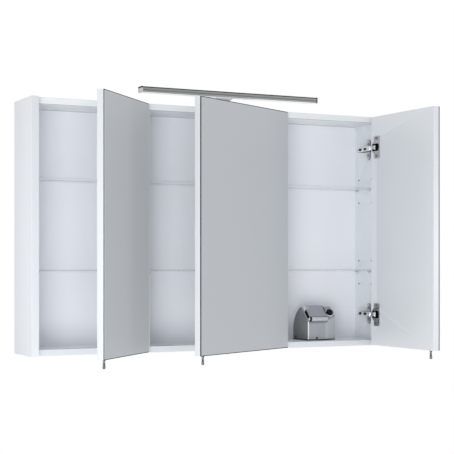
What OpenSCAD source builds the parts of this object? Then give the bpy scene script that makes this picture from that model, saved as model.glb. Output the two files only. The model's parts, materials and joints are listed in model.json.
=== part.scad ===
// Lighted mirror cabinet: three mirrored doors on concealed cup hinges, glass shelves on pins,
// a lamp bar on a bracket above the doors and a switch and socket box inside.
// Millimetres. X runs to the right, Y towards the wall, Z up.
// The origin is on the wall plane, midway between the two hanging screws.

/* [Cabinet] */
// Overall width across the two side panels
cabinet_w = 1000; // [940:10:1100]
// Overall height of the side panels
cabinet_h = 620; // [600:10:660]
// Depth from the closed mirror face to the wall
cabinet_d = 140; // [140:5:170]
// Thickness of the side panels
side_t = 18; // [16:1:20]
// Thickness of the top, the bottom and the two partitions
board_t = 16; // [16:1:18]
// Thickness of the back panel
back_t = 3; // [2.5:0.5:4]
// Space between the back panel and the wall
back_inset = 5; // [4:0.5:6]
// Distance of each partition's middle from the cabinet's middle
partition_x = 196; // [190:1:200]
// Height of the hanging points below the cabinet's top
hang_drop = 60; // [50:5:90]

/* [Doors] */
// Gap beside each door
door_gap = 4; // [3.5:0.5:5]
// Distance of the doors from the cabinet's top and bottom
door_end_gap = 2; // [1:0.5:3]
// Thickness of the door board
door_board_t = 16; // [15:0.5:17]
// Thickness of the mirror glass
mirror_t = 3; // [3:0.5:4]
// Space between the closed doors and the front edges behind them
door_rear_gap = 2; // [2:0.1:2.4]
// Distance of each pull peg from the door's free edge
peg_in = 22; // [18:1:30]
// Length of each pull peg below its door
peg_l = 22; // [18:1:30]
// Opening of the left door as drawn, in degrees
angle_left = 46; // [0:1:95]
// Opening of the middle door as drawn, in degrees
angle_middle = 29; // [0:1:95]
// Opening of the right door as drawn, in degrees
angle_right = 91; // [0:1:95]

/* [Hinges] */
// Height of each hinge's middle above the bottom, or below the top
hinge_z = 85; // [75:5:110]
// Distance of the hinge cup's middle from the door's edge
cup_from_edge = 22; // [21.5:0.5:23]
// Depth of the bore for the hinge cup
cup_depth = 12.5; // [12.5:0.1:13]
// Length of the hinge arm behind the door's axis
arm_l = 84; // [78:1:90]
// Height of the hinge cup's flange from wing tip to wing tip
cup_flange_h = 61; // [58:1:64]
// Height of the mounting plate from wing tip to wing tip
plate_h = 56; // [48:1:60]

/* [Shelves] */
// Thickness of the glass shelves
shelf_t = 5; // [4:0.5:6]
// Height of the lower shelf's pins above the bottom, and of the upper shelf's below the top
shelf_pin_z = 198; // [190:1:210]
// Distance of the front row of pin holes from the closed mirror face
front_row = 48; // [46:1:60]
// Distance of the rear row of pin holes from the closed mirror face
rear_row = 112; // [104:1:118]
// Distance of the shelves' front edges from the closed mirror face
shelf_front = 30; // [26:1:36]

/* [Lamp] */
// Length of the lamp bar
lamp_l = 490; // [400:10:600]
// Depth of the lamp bar from front to back
lamp_d = 24; // [22:1:28]
// Height of the lamp bar
lamp_h = 13.5; // [12.5:0.5:16]
// Distance of the lamp's front face ahead of the closed mirrors
lamp_reach = 64; // [55:1:90]
// Height of the lamp's underside above the cabinet's top
lamp_rise = 16.5; // [12:0.5:24]
// Width of the bracket's arm
bracket_w = 24; // [20:1:30]

/* [Switch box] */
// Distance of the box from the right side panel
box_from_side = 110; // [104:1:116]
// Width of the box
box_w = 90; // [90:1:96]
// Depth of the box from front to back
box_d = 80; // [80:0.5:82]
// Height of the box's upright front, up to the slope
box_front_h = 50; // [48:0.5:52]
// Diameter of the round push button
button_d = 17; // [16:0.5:18]

/* [Hidden] */

// Enough sides for smooth true cylinders
$fn = 48;

// Left, middle and right door in that order
left = 0;
middle = 1;
right = 2;

// Planes of the carcass
side_in = cabinet_w / 2 - side_t;
front_y = -cabinet_d + mirror_t + door_board_t + door_rear_gap;
back_y = -back_inset - back_t;
hang_z = cabinet_h - hang_drop;
groove = 6;
edge_r = 1;

// Doors: edges, widths and heights
free_edge = [-side_in + door_gap, -partition_x + door_gap / 2, partition_x + door_gap / 2];
hinge_edge = [-partition_x - door_gap / 2, partition_x - door_gap / 2, side_in - door_gap];
door_w = hinge_edge - free_edge;
door_z0 = door_end_gap;
door_h = cabinet_h - 2 * door_end_gap;
open_deg = [angle_left, angle_middle, angle_right];

// The axis each door turns on, seen from above: in from its edge and back from its face
axis_in = 6.5;
axis_back = 5;
axis_x = [for (edge = hinge_edge) edge - axis_in];
axis_y = -cabinet_d + axis_back;

// Clearance of a screw or a pin in its hole
hole_play = 0.05;

// Door surfaces measured from that axis
board_front = mirror_t - axis_back;
board_rear = board_front + door_board_t;
cup_x = axis_in - cup_from_edge;
hinge_heights = [hinge_z, cabinet_h - hinge_z];

// Cabinet faces that carry the hinge plates, measured from each axis
plate_face = [-partition_x - board_t / 2 - axis_x[left], partition_x - board_t / 2 - axis_x[middle],
    side_in - axis_x[right]];

// Hinge cup, link and arm
cup_r = 17.5;
cup_wall = 0.8;
cup_play = 0.1;
flange_t = 1.2;
flange_r = 18.4;
flange_corner = 5;
wing_r = 6.5;
wing_w = 27;
cup_slot = 20;
wing_x = cup_x - 5;
link_ratio = 0.6;
link_r = 16.5;
link_t = 1.5;
link_w = 10;
link_from = 93;
link_span = 73;
eye_r = 0.9;
roll_r = 1.3;
nose_r = 18.3;
nose_t = 1.7;
nose_from = 112;
nose_span = 44;
arm_w = 12.5;
nose_w = arm_w - 0.6;
arm_t = 1.2;
arm_x = -10.5;
arm_leg = 7.5;
arm_y = 16.6;
leg_y = 21;
leg_in = 0.1;

// Hinge mounting plate, with its middle this far behind the axis
plate_y = 55;
plate_t = 2.5;
plate_w = 16;
rib_y = 32;
tongue_w = arm_w - 2 * (arm_t + leg_in) - 0.2;
euro_pitch = 32;
euro_r = 2.5;
euro_depth = 6.5;
adjuster_y = [44, 68];
screw_hole_r = 2.1;

// Cup screws and the width of a screw's cross recess
cup_screw_r = 1.75;
cup_screw_l = 10;
recess_w = 0.8;

// Pull pegs and bumpers
peg_r = 3.5;
peg_collar_r = 3.6;
peg_collar_h = 2.4;
peg_waist_r = 3;
peg_tip_r = 2.5;
peg_shank_r = 2;
peg_shank_l = 11;
bumper_r = 4;
bumper_in = 10;
bumper_end = 6;

// Shelf pins and their rows of holes
pin_r = 2.5;
pin_depth = 6.5;
hole_pitch = 32;
row_y = [-cabinet_d + front_row, -cabinet_d + rear_row];
pin_heights = [shelf_pin_z, cabinet_h - shelf_pin_z];
hole_heights = [for (z = pin_heights, step = [-1 : 1]) z + step * hole_pitch];
support_r = 4;
support_l = 12;
support_top = 1.5;
support_collar_r = 4.8;
support_collar_t = 1.2;
pad_t = 1;
pad_w = 6;
pad_in = 2;
pad_end = 0.4;
shelf_play = 1.5;
shelf_back_play = 1;
shelf_edge_r = 1.2;

// Compartment walls, left to right
bay_left = [-side_in, -partition_x + board_t / 2, partition_x + board_t / 2];
bay_right = [-partition_x - board_t / 2, partition_x - board_t / 2, side_in];

// Dowels
dowel_r = 4;
dowel_side = 12;
dowel_end = 22;
dowel_shallow = 10;
dowel_in = 19;
dowel_back = 16;
dowel_trim = 1;
dowel_y = [front_y + dowel_in, (front_y + back_y) / 2, back_y - dowel_back];

// Lamp
lamp_y = -cabinet_d - lamp_reach;
lamp_z = cabinet_h + lamp_rise;
lamp_wall = 1.3;
lamp_roof = 2;
cap_t = 3;
cap_over = 0.3;
cap_over_z = 0.5;
plug_l = 5;
plug_z = 3;
lip_in = 0.7;
lip_z = 0.9;
lip_h = 1.2;
lip_play = 0.1;
rail_w = 1.7;
diffuser_t = 1.2;
diffuser_drop = 1.8;
led_t = 1.5;
led_w = 12;
led_margin = 20;
led_pitch = 14;
led_chip = 3;
led_chip_t = 0.8;
bracket_setback = 3;
bracket_below = 4;
bracket_t = 10;
bracket_shoulder = 12;
bracket_heel = 46;
bracket_chamfer = 20;
bracket_screw_in = 52;
bracket_screw_pitch = 16;
bracket_screw_edge = 7;
bracket_screw_y = [front_y + bracket_screw_in, front_y + bracket_screw_in + bracket_screw_pitch];
bracket_foot = 76;
foot_t = 3;
foot_w = 44;
lamp_screw_r = 1.6;
lamp_screw_l = 9.5;

// Wall plates
plate_slot_r = 2.6;
plate_entry_r = 5;
plate_drop = 12;
plate_screw_z = 25;
plate_screw_r = 1.25;
plate_screw_l = 11;
plate_head_r = 2.9;
hanger_w = 14;
hanger_h = 64;
hanger_t = 2;
pocket_w = 12;
pocket_h = 34;
pocket_depth = 12;

// Switch and socket box
box_gap = 4;
box_x = side_in - box_from_side - box_w;
box_y = back_y - box_gap - box_d;
arc_y = 14;
arc_z = 28;
arc_r = box_d - arc_y;
crest_r = 4;
box_corner_r = 3;
box_cut_w = 37;
box_cut_d = 12;
box_foot_left = 14;
box_foot_right = 20;
box_foot_back = 18;
box_screw_r = 1.55;
box_screw_up = 6;
flap_x = 5;
flap_w = 57;
flap_y = 4;
flap_hinge_y = 52;
flap_t = 3;
flap_rise = 9;
flap_edge_r = 2;
flap_wall = 2;
flap_axis_z = -1.6;
flap_gap = 1.5;
roll_up = 4.5;
roll_in = 6;
flap_roll_r = 5.5;
knuckle_r = 1.6;
flap_pin_r = 0.8;
flap_pin_grip = 2.5;
recess_depth = 3.6;
socket_x = flap_x + flap_w / 2;
socket_y = 29;
socket_r = 22;
socket_depth = 24;
well_r = 19.5;
well_depth = 17;
contact_x = 9.5;
contact_r = 2.5;
contact_depth = 5;
clip_w = 5;
clip_t = 2.4;
button_x = 77;
button_y = 29;
button_depth = 14;
button_play = 0.4;
button_rise = 7;
collar_w = 2;
collar_depth = 2;
cable_r = 10;
cable_depth = 16;
cable_up = 26;
cable_z = board_t + cable_up;

// Puts what is measured from the cabinet's underside into the hanging frame
module placed() {
    translate([0, 0, -hang_z]) children();
}

// Puts what is drawn on a closed door, from its axis, at the door's opening
module on_door(door) {
    placed() translate([axis_x[door], axis_y, 0]) rotate([0, 0, open_deg[door]]) children();
}

// Repeats a hinge piece at both hinge heights
module at_hinges() {
    for (z = hinge_heights) translate([0, 0, z]) children();
}

// A rectangle with true arcs at its corners
module round_rect(w, h, r) {
    translate([r, 0]) square([w - 2 * r, h]);
    translate([0, r]) square([w, h - 2 * r]);
    for (x = [r, w - r], y = [r, h - r]) translate([x, y]) circle(r);
}

// A rectangle with true arcs at the two corners on its low side
module eased_rect(w, h, r) {
    translate([r, 0]) square([w - 2 * r, h]);
    translate([0, r]) square([w, h - r]);
    for (x = [r, w - r]) translate([x, r]) circle(r);
}

// A stadium: a strip with half-round ends, centred
module stadium(w, h) {
    square([w, h - w], center = true);
    for (side = [-1, 1]) translate([0, side * (h - w) / 2]) circle(w / 2);
}

// Extrudes a shape drawn in Y and Z along X
module along_x(length) {
    rotate([90, 0, 90]) linear_extrude(length) children();
}

// A cylinder that starts at the origin and runs along +X
module rod_x(r, length) {
    rotate([0, 90, 0]) cylinder(r = r, h = length);
}

// A cylinder that starts at the origin and runs along +Y
module rod_y(r, length) {
    rotate([-90, 0, 0]) cylinder(r = r, h = length);
}

// A cross recess for a screwdriver: it starts at the origin and opens upwards
module cross_recess(reach) {
    for (turn = [0, 90]) rotate([0, 0, turn])
        translate([-reach, -recess_w / 2, 0]) cube([2 * reach, recess_w, 3]);
}

// The system holes in one face; side is 1 for a face that looks to the right
module pin_holes(face_x, side) {
    for (y = row_y, z = hole_heights)
        translate([face_x - (side > 0 ? pin_depth : 0), y, z]) rod_x(pin_r, pin_depth);
}

// The screw holes of one column of hinge plates, in a face that looks to the left
module plate_holes(door) {
    for (z = hinge_heights, side = [-1, 1])
        translate([axis_x[door] + plate_face[door], axis_y + plate_y, z + side * euro_pitch / 2])
            rod_x(euro_r, euro_depth);
}

// Dowels between the side panels and the top and bottom; play narrows them, trim shortens them
module side_dowels(side, play, trim) {
    for (y = dowel_y, z = [board_t / 2, cabinet_h - board_t / 2])
        translate([side * (side_in + (dowel_side - dowel_end) / 2), y, z])
            rotate([0, 90, 0])
            cylinder(r = dowel_r - play, h = dowel_side + dowel_end - 2 * trim, center = true);
}

// Upright dowels between one partition and the top and bottom
module partition_dowels(x, play, trim) {
    for (y = [dowel_y[0], dowel_y[2]], end = [0, 1])
        translate([x, y, end * cabinet_h + (1 - 2 * end) * (board_t + (dowel_end - dowel_shallow) / 2)])
            cylinder(r = dowel_r - play, h = dowel_shallow + dowel_end - 2 * trim, center = true);
}

// Side panel: eased front edges, a groove for the back, a pocket for the wall plate
module side_panel(side) {
    outer = side * cabinet_w / 2;
    difference() {
        translate([side > 0 ? side_in : -cabinet_w / 2, -cabinet_d, 0])
            linear_extrude(cabinet_h) eased_rect(side_t, cabinet_d, edge_r);
        translate([side * (side_in + groove / 2), (back_y - back_inset) / 2, cabinet_h / 2])
            cube([groove, back_t, cabinet_h - 2 * board_t + 2 * groove], center = true);
        pin_holes(side * side_in, -side);
        side_dowels(side, 0, 0);
        translate([outer - side * side_t / 2, 0, hang_z]) hanger_pocket();
        if (side > 0) plate_holes(right);
    }
}

module side_panel_left() {
    color("whitesmoke") placed() side_panel(-1);
}

module side_panel_right() {
    color("whitesmoke") placed() side_panel(1);
}

// A level board between the side panels, drawn with its groove on top
module level_panel() {
    difference() {
        translate([-side_in, front_y, 0])
            along_x(2 * side_in) eased_rect_deep(-front_y, board_t, edge_r);
        translate([-side_in - 1, back_y, board_t - groove])
            cube([2 * side_in + 2, back_t, groove + 1]);
    }
}

// The level board's section: its front edge has two eased corners
module eased_rect_deep(d, t, r) {
    translate([r, 0]) square([d - r, t]);
    translate([0, r]) square([r, t - 2 * r]);
    for (z = [r, t - r]) translate([r, z]) circle(r);
}

module top_panel() {
    color("whitesmoke") placed() difference() {
        translate([0, 0, cabinet_h]) mirror([0, 0, 1]) level_panel();
        for (side = [-1, 1]) side_dowels(side, 0, 0);
        for (side = [-1, 1]) partition_dowels(side * partition_x, 0, 0);
        lamp_screw_holes();
    }
}

module bottom_panel() {
    color("whitesmoke") placed() difference() {
        level_panel();
        for (side = [-1, 1]) side_dowels(side, 0, 0);
        for (side = [-1, 1]) partition_dowels(side * partition_x, 0, 0);
        box_feet() {
            translate([0, 0, -board_t - 1]) cylinder(r = box_screw_r + hole_play, h = board_t + 2);
            translate([0, 0, -board_t - 0.01])
                cylinder(r1 = box_screw_r + 2.05, r2 = box_screw_r + hole_play, h = 2);
        }
    }
}

// Upright partition with system holes in both faces and the hinge plates' holes on its left
module partition(side) {
    x = side * partition_x;
    difference() {
        translate([x - board_t / 2, front_y, board_t])
            linear_extrude(cabinet_h - 2 * board_t) eased_rect(board_t, back_y - front_y, edge_r);
        pin_holes(x - board_t / 2, -1);
        pin_holes(x + board_t / 2, 1);
        plate_holes(side < 0 ? left : middle);
        partition_dowels(x, 0, 0);
    }
}

module partition_left() {
    color("whitesmoke") placed() partition(-1);
}

module partition_right() {
    color("whitesmoke") placed() partition(1);
}

// Thin back in the grooves, with the cable's hole behind the switch box
module back_panel() {
    reach = groove - 0.5;
    color("white") placed() difference() {
        translate([-side_in - reach, back_y, board_t - reach])
            cube([2 * (side_in + reach), back_t, cabinet_h - 2 * board_t + 2 * reach]);
        translate([box_x + box_w / 2, back_y - 1, cable_z]) rod_y(cable_r, back_t + 2);
    }
}

// Wooden dowels, each a little thinner and shorter than its holes
module panel_dowels() {
    color("burlywood") placed() {
        for (side = [-1, 1]) side_dowels(side, hole_play, dowel_trim);
        for (side = [-1, 1]) partition_dowels(side * partition_x, hole_play, dowel_trim);
    }
}

// Milled pocket for a wall plate and for the head of the wall screw
module hanger_pocket() {
    translate([-hanger_w / 2, -hanger_t, -hanger_h / 2]) cube([hanger_w, hanger_t + 1, hanger_h]);
    translate([0, 0, -plate_entry_r]) rotate([90, 0, 0])
        linear_extrude(hanger_t + pocket_depth) stadium(pocket_w, pocket_h);
    for (z = [-1, 1]) translate([0, 0, z * plate_screw_z]) mirror([0, 1, 0])
        rod_y(plate_screw_r + hole_play, hanger_t + plate_screw_l + 1);
}

// Steel wall plate with a keyhole: a round entry below a narrow slot
module hanger_plate() {
    rotate([90, 0, 0]) difference() {
        linear_extrude(hanger_t) round_rect_centred(hanger_w, hanger_h, 3);
        translate([0, -plate_drop, -1]) cylinder(r = plate_entry_r, h = hanger_t + 2);
        translate([0, 0, -1]) cylinder(r = plate_slot_r, h = hanger_t + 2);
        translate([-plate_slot_r, -plate_drop, -1])
            cube([2 * plate_slot_r, plate_drop, hanger_t + 2]);
        for (z = [-1, 1]) translate([0, z * plate_screw_z, -0.01])
            cylinder(r1 = plate_head_r + 0.3, r2 = plate_screw_r + 0.35, h = hanger_t + 0.02);
    }
}

module round_rect_centred(w, h, r) {
    translate([-w / 2, -h / 2]) round_rect(w, h, r);
}

module hanger_plates() {
    color("silver") placed() for (side = [-1, 1])
        translate([side * (cabinet_w - side_t) / 2, 0, hang_z]) hanger_plate();
}

// Countersunk screws that hold the wall plates
module hanger_screws() {
    head = plate_head_r - plate_screw_r;
    color("silver") placed() for (side = [-1, 1], z = [-1, 1])
        translate([side * (cabinet_w - side_t) / 2, -0.3, hang_z + z * plate_screw_z])
            rotate([90, 0, 0]) {
                cylinder(r1 = plate_head_r, r2 = plate_screw_r, h = head);
                translate([0, 0, head]) cylinder(r = plate_screw_r, h = plate_screw_l);
            }
}

// Door board, drawn closed from its axis: eased rear edges and two bores for the hinge cups
module door_board(door) {
    w = door_w[door];
    difference() {
        translate([axis_in - w, board_rear, door_z0]) mirror([0, 1, 0])
            linear_extrude(door_h) eased_rect(w, door_board_t, edge_r);
        at_hinges() {
            translate([cup_x, board_rear - cup_depth, 0]) rod_y(cup_r, cup_depth + 1);
            for (side = [-1, 1])
                translate([wing_x, board_rear - cup_screw_l - 1, side * wing_z()])
                    rod_y(cup_screw_r + hole_play, cup_screw_l + 2);
        }
        translate([peg_x(door), peg_y(), door_z0 - 1])
            cylinder(r = peg_shank_r + 0.1, h = peg_shank_l + 2);
    }
}

// Distance of a cup's screws from the hinge's middle
function wing_z() = cup_flange_h / 2 - wing_r;

// Place of a door's pull peg, from the door's axis
function peg_x(door) = axis_in - door_w[door] + peg_in;
function peg_y() = board_front + door_board_t / 2;

module door_board_left() {
    color("white") on_door(left) door_board(left);
}

module door_board_middle() {
    color("white") on_door(middle) door_board(middle);
}

module door_board_right() {
    color("white") on_door(right) door_board(right);
}

// Mirror glass over the whole board, with a fine ground edge all round its front
module mirror_glass(door) {
    w = door_w[door];
    grind = 0.6;
    intersection() {
        translate([axis_in - w, -axis_back, door_z0]) linear_extrude(door_h)
            polygon([[grind, 0], [w - grind, 0], [w, grind], [w, mirror_t], [0, mirror_t], [0, grind]]);
        translate([axis_in - w, -axis_back, door_z0]) along_x(w)
            polygon([[0, grind], [grind, 0], [mirror_t, 0], [mirror_t, door_h],
                [grind, door_h], [0, door_h - grind]]);
    }
}

module mirror_left() {
    color("lightsteelblue") on_door(left) mirror_glass(left);
}

module mirror_middle() {
    color("lightsteelblue") on_door(middle) mirror_glass(middle);
}

module mirror_right() {
    color("lightsteelblue") on_door(right) mirror_glass(right);
}

// Hinge cup in the bore: a cast body with an upright well for the link and the arm's nose,
// and a flange with two screw wings on the board
module hinge_cup() {
    translate([0, board_rear, 0]) rotate([-90, 0, 0]) difference() {
        union() {
            linear_extrude(flange_t) {
                translate([cup_x, 0]) circle(flange_r);
                translate([wing_x, 0]) round_rect_centred(wing_w, cup_flange_h, flange_corner);
            }
            translate([cup_x, 0, cup_play - cup_depth])
                cylinder(r = cup_r - cup_play, h = cup_depth);
        }
        intersection() {
            translate([cup_x, 0, cup_play + cup_wall - cup_depth])
                cylinder(r = cup_r - cup_wall, h = cup_depth + flange_t);
            translate([cup_x, 0, 0]) cube([2 * cup_r, cup_slot, 3 * cup_depth], center = true);
        }
        for (side = [-1, 1]) translate([wing_x, side * wing_z(), -1])
            cylinder(r = cup_screw_r + 0.45, h = flange_t + 2);
    }
}

module hinge_cups_left() {
    color("silver") on_door(left) at_hinges() hinge_cup();
}

module hinge_cups_middle() {
    color("silver") on_door(middle) at_hinges() hinge_cup();
}

module hinge_cups_right() {
    color("silver") on_door(right) at_hinges() hinge_cup();
}

// Two pan-head screws that hold one cup's wings to the board
module cup_screw_pair() {
    for (side = [-1, 1]) translate([wing_x, board_rear, side * wing_z()]) {
        translate([0, -cup_screw_l, 0]) rod_y(cup_screw_r, cup_screw_l + flange_t);
        translate([0, flange_t, 0]) rotate([-90, 0, 0]) difference() {
            cylinder(r1 = 3.9, r2 = 2.9, h = 1.7);
            translate([0, 0, 0.9]) cross_recess(1.8);
        }
    }
}

module cup_screws_left() {
    color("silver") on_door(left) at_hinges() cup_screw_pair();
}

module cup_screws_middle() {
    color("silver") on_door(middle) at_hinges() cup_screw_pair();
}

module cup_screws_right() {
    color("silver") on_door(right) at_hinges() cup_screw_pair();
}

// A piece of a tube round the door's axis, from one angle over a span
module arc_strap(r, t, w, from, span) {
    rotate([0, 0, from]) rotate_extrude(angle = span, $fn = 96)
        translate([r, -w / 2]) square([t, w]);
}

// Curved link: it stays in the cup and under the arm's nose while it turns with the door
module hinge_link() {
    arc_strap(link_r, link_t, link_w, link_from, link_span);
    rotate([0, 0, link_from]) translate([link_r + link_t - eye_r, 0, 0])
        cylinder(r = eye_r, h = link_w + 1.6, center = true);
    rotate([0, 0, link_from + link_span]) translate([link_r + link_t / 2, 0, 0])
        cylinder(r = roll_r, h = link_w + 3, center = true);
}

// Both links of one door, turned by their share of the opening
module hinge_link_pair(door) {
    placed() translate([axis_x[door], axis_y, 0]) rotate([0, 0, link_ratio * open_deg[door]])
        at_hinges() hinge_link();
}

module hinge_links_left() {
    color("silver") hinge_link_pair(left);
}

module hinge_links_middle() {
    color("silver") hinge_link_pair(middle);
}

module hinge_links_right() {
    color("silver") hinge_link_pair(right);
}

// Places a fixed hinge piece at both heights of a door's axis
module at_plates(door) {
    placed() translate([axis_x[door], axis_y, 0]) at_hinges() children();
}

// Hinge arm: a bent nose over the link, then a channel that straddles the mounting plate.
// The rear screw's hole is a slot, open to the arm's end, so that the door can be hooked on
module hinge_arm() {
    arc_strap(nose_r, nose_t, nose_w, nose_from, nose_span);
    difference() {
        union() {
            translate([arm_x, arm_y, -arm_w / 2]) cube([arm_t, arm_l - arm_y, arm_w]);
            for (side = [-1, 1])
                translate([arm_x, 0, side * (arm_w / 2 - leg_in - arm_t / 2) - arm_t / 2])
                    linear_extrude(arm_t)
                    polygon([[arm_t / 2, leg_y], [arm_t, leg_y], [arm_leg, leg_y + 8],
                        [arm_leg, arm_l - 4], [arm_leg - 3, arm_l - 1], [arm_t / 2, arm_l - 1]]);
        }
        for (y = adjuster_y) translate([arm_x - 1, y, 0]) rod_x(screw_hole_r, arm_t + 2);
        translate([arm_x - 1, adjuster_y[1], -screw_hole_r])
            cube([arm_t + 2, arm_l, 2 * screw_hole_r]);
    }
}

module hinge_arms_left() {
    color("lightgray") at_plates(left) hinge_arm();
}

module hinge_arms_middle() {
    color("lightgray") at_plates(middle) hinge_arm();
}

module hinge_arms_right() {
    color("lightgray") at_plates(right) hinge_arm();
}

// Cross-shaped mounting plate: two screw wings and a rib that fills the arm's channel
module hinge_plate(door) {
    face = plate_face[door];
    rib_end = arm_l - 2;
    shoulder = arm_x + arm_leg;
    difference() {
        union() {
            translate([face - plate_t, plate_y, 0]) rotate([90, 0, 90])
                linear_extrude(plate_t) stadium(plate_w, plate_h);
            translate([shoulder, rib_y, -arm_w / 2]) cube([face - shoulder, rib_end - rib_y, arm_w]);
            translate([arm_x + arm_t + 0.2, rib_y, -tongue_w / 2])
                cube([arm_leg - arm_t, rib_end - rib_y, tongue_w]);
        }
        for (y = adjuster_y) translate([arm_x, y, 0]) rod_x(2, 8);
        for (side = [-1, 1]) translate([face - plate_t - 1, plate_y, side * euro_pitch / 2])
            rod_x(euro_r + 0.1, plate_t + 2);
    }
}

module hinge_plates_left() {
    color("silver") placed_plate(left);
}

module hinge_plates_middle() {
    color("silver") placed_plate(middle);
}

module hinge_plates_right() {
    color("silver") placed_plate(right);
}

module placed_plate(door) {
    at_plates(door) hinge_plate(door);
}

// Screws that hold the mounting plates to the cabinet
module hinge_plate_screws() {
    color("gainsboro") for (door = [left, middle, right]) at_plates(door)
        for (side = [-1, 1])
            translate([plate_face[door] - plate_t, plate_y, side * euro_pitch / 2]) {
                rod_x(euro_r - 0.1, plate_t + euro_depth - 0.5);
                rotate([0, -90, 0]) difference() {
                    cylinder(r = 4.2, h = 2);
                    translate([0, 0, 1]) cross_recess(1.8);
                }
            }
}

// Black adjusting screws through each arm into its plate
module hinge_arm_screws() {
    color("dimgray") for (door = [left, middle, right]) at_plates(door)
        for (y = adjuster_y) translate([arm_x, y, 0]) {
            rod_x(1.9, 7);
            rotate([0, -90, 0]) difference() {
                cylinder(r = 3.4, h = 1.6);
                translate([0, 0, 0.8]) cross_recess(2);
            }
        }
}

// Chrome pull peg under a door: a waisted pin with a rounded end, screwed up into the board
module pull_peg(door) {
    translate([peg_x(door), peg_y(), door_z0]) {
        rotate_extrude() polygon(concat(
            [[0, 0], [peg_collar_r, 0], [peg_collar_r, -peg_collar_h],
                [peg_waist_r, -peg_collar_h - 0.8], [peg_waist_r, 8 - peg_l],
                [peg_r, 6 - peg_l], [peg_r, peg_tip_r - peg_l]],
            [for (a = [0 : 15 : 90])
                [peg_r - peg_tip_r * (1 - cos(a)), peg_tip_r * (1 - sin(a)) - peg_l]],
            [[0, -peg_l]]));
        cylinder(r = peg_shank_r, h = peg_shank_l);
    }
}

module pull_peg_left() {
    color("silver") on_door(left) pull_peg(left);
}

module pull_peg_middle() {
    color("silver") on_door(middle) pull_peg(middle);
}

module pull_peg_right() {
    color("silver") on_door(right) pull_peg(right);
}

// Soft bumpers on the door's rear face, near its free edge
module door_bumper_pair(door) {
    for (z = [door_z0 + bumper_end, door_z0 + door_h - bumper_end])
        translate([axis_in - door_w[door] + bumper_in, board_rear, z])
            rotate([-90, 0, 0])
            cylinder(r1 = bumper_r, r2 = bumper_r - 0.8, h = door_rear_gap - 0.2);
}

module door_bumpers_left() {
    color("lightgray") on_door(left) door_bumper_pair(left);
}

module door_bumpers_middle() {
    color("lightgray") on_door(middle) door_bumper_pair(middle);
}

module door_bumpers_right() {
    color("lightgray") on_door(right) door_bumper_pair(right);
}

// Glass shelf with rounded long edges, resting on its four pads; level 0 is the lower one
module glass_shelf(bay, level) {
    width = bay_right[bay] - bay_left[bay] - 2 * shelf_play;
    depth = back_y - shelf_back_play + cabinet_d - shelf_front;
    color("paleturquoise", 0.5) placed()
        translate([bay_left[bay] + shelf_play, -cabinet_d + shelf_front,
            pin_heights[level] + support_top + pad_t])
            along_x(width) round_rect(depth, shelf_t, shelf_edge_r);
}

module shelf_left_lower() {
    glass_shelf(left, 0);
}

module shelf_left_upper() {
    glass_shelf(left, 1);
}

module shelf_middle_lower() {
    glass_shelf(middle, 0);
}

module shelf_middle_upper() {
    glass_shelf(middle, 1);
}

module shelf_right_lower() {
    glass_shelf(right, 0);
}

module shelf_right_upper() {
    glass_shelf(right, 1);
}

// Repeats a piece at every shelf pin, turned to stick out of its own wall along +X
module at_pins() {
    for (bay = [left, middle, right], y = row_y, z = pin_heights) {
        translate([bay_left[bay], y, z]) children();
        translate([bay_right[bay], y, z]) mirror([1, 0, 0]) children();
    }
}

// Shelf pin: a peg in the wall, a collar against it and a flat-topped finger
module shelf_supports() {
    color("gainsboro") placed() at_pins() {
        translate([0.5 - pin_depth, 0, 0]) rod_x(pin_r - hole_play, pin_depth);
        rod_x(support_collar_r, support_collar_t);
        difference() {
            rod_x(support_r, support_l);
            translate([support_collar_t, -support_r, support_top])
                cube([support_l, 2 * support_r, support_r]);
        }
    }
}

// Dark soft pads that the glass lies on
module shelf_pads() {
    color("dimgray") placed() at_pins()
        translate([pad_in, -pad_w / 2, support_top])
            cube([support_l - pad_in - pad_end, pad_w, pad_t]);
}

// Puts what is drawn from the lamp's lower front edge in its place
module at_lamp() {
    placed() translate([0, lamp_y, lamp_z]) children();
}

// Lamp bar: an aluminium channel, open below, with a groove in each wall for the diffuser
module lamp_profile() {
    color("darkgray") at_lamp() translate([cap_t - lamp_l / 2, 0, 0]) along_x(lamp_l - 2 * cap_t)
        difference() {
            round_rect(lamp_d, lamp_h, 1);
            translate([lamp_wall, -1]) square([lamp_d - 2 * lamp_wall, lamp_h - lamp_roof + 1]);
            translate([lamp_wall - lip_in, lip_z])
                square([lamp_d - 2 * (lamp_wall - lip_in), lip_h]);
        }
}

// Black caps with a plug that enters the channel
module lamp_end_caps() {
    color("black") at_lamp() for (side = [-1, 1]) scale([side, 1, 1])
        translate([lamp_l / 2 - cap_t, 0, 0]) {
            translate([0, -cap_over, -cap_over_z]) along_x(cap_t)
                round_rect(lamp_d + 2 * cap_over, lamp_h + 2 * cap_over_z, 1.5);
            translate([-plug_l, lamp_wall + lip_play, plug_z])
                cube([plug_l, lamp_d - 2 * (lamp_wall + lip_play),
                    lamp_h - lamp_roof - plug_z - led_t - 1.5]);
        }
}

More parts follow.
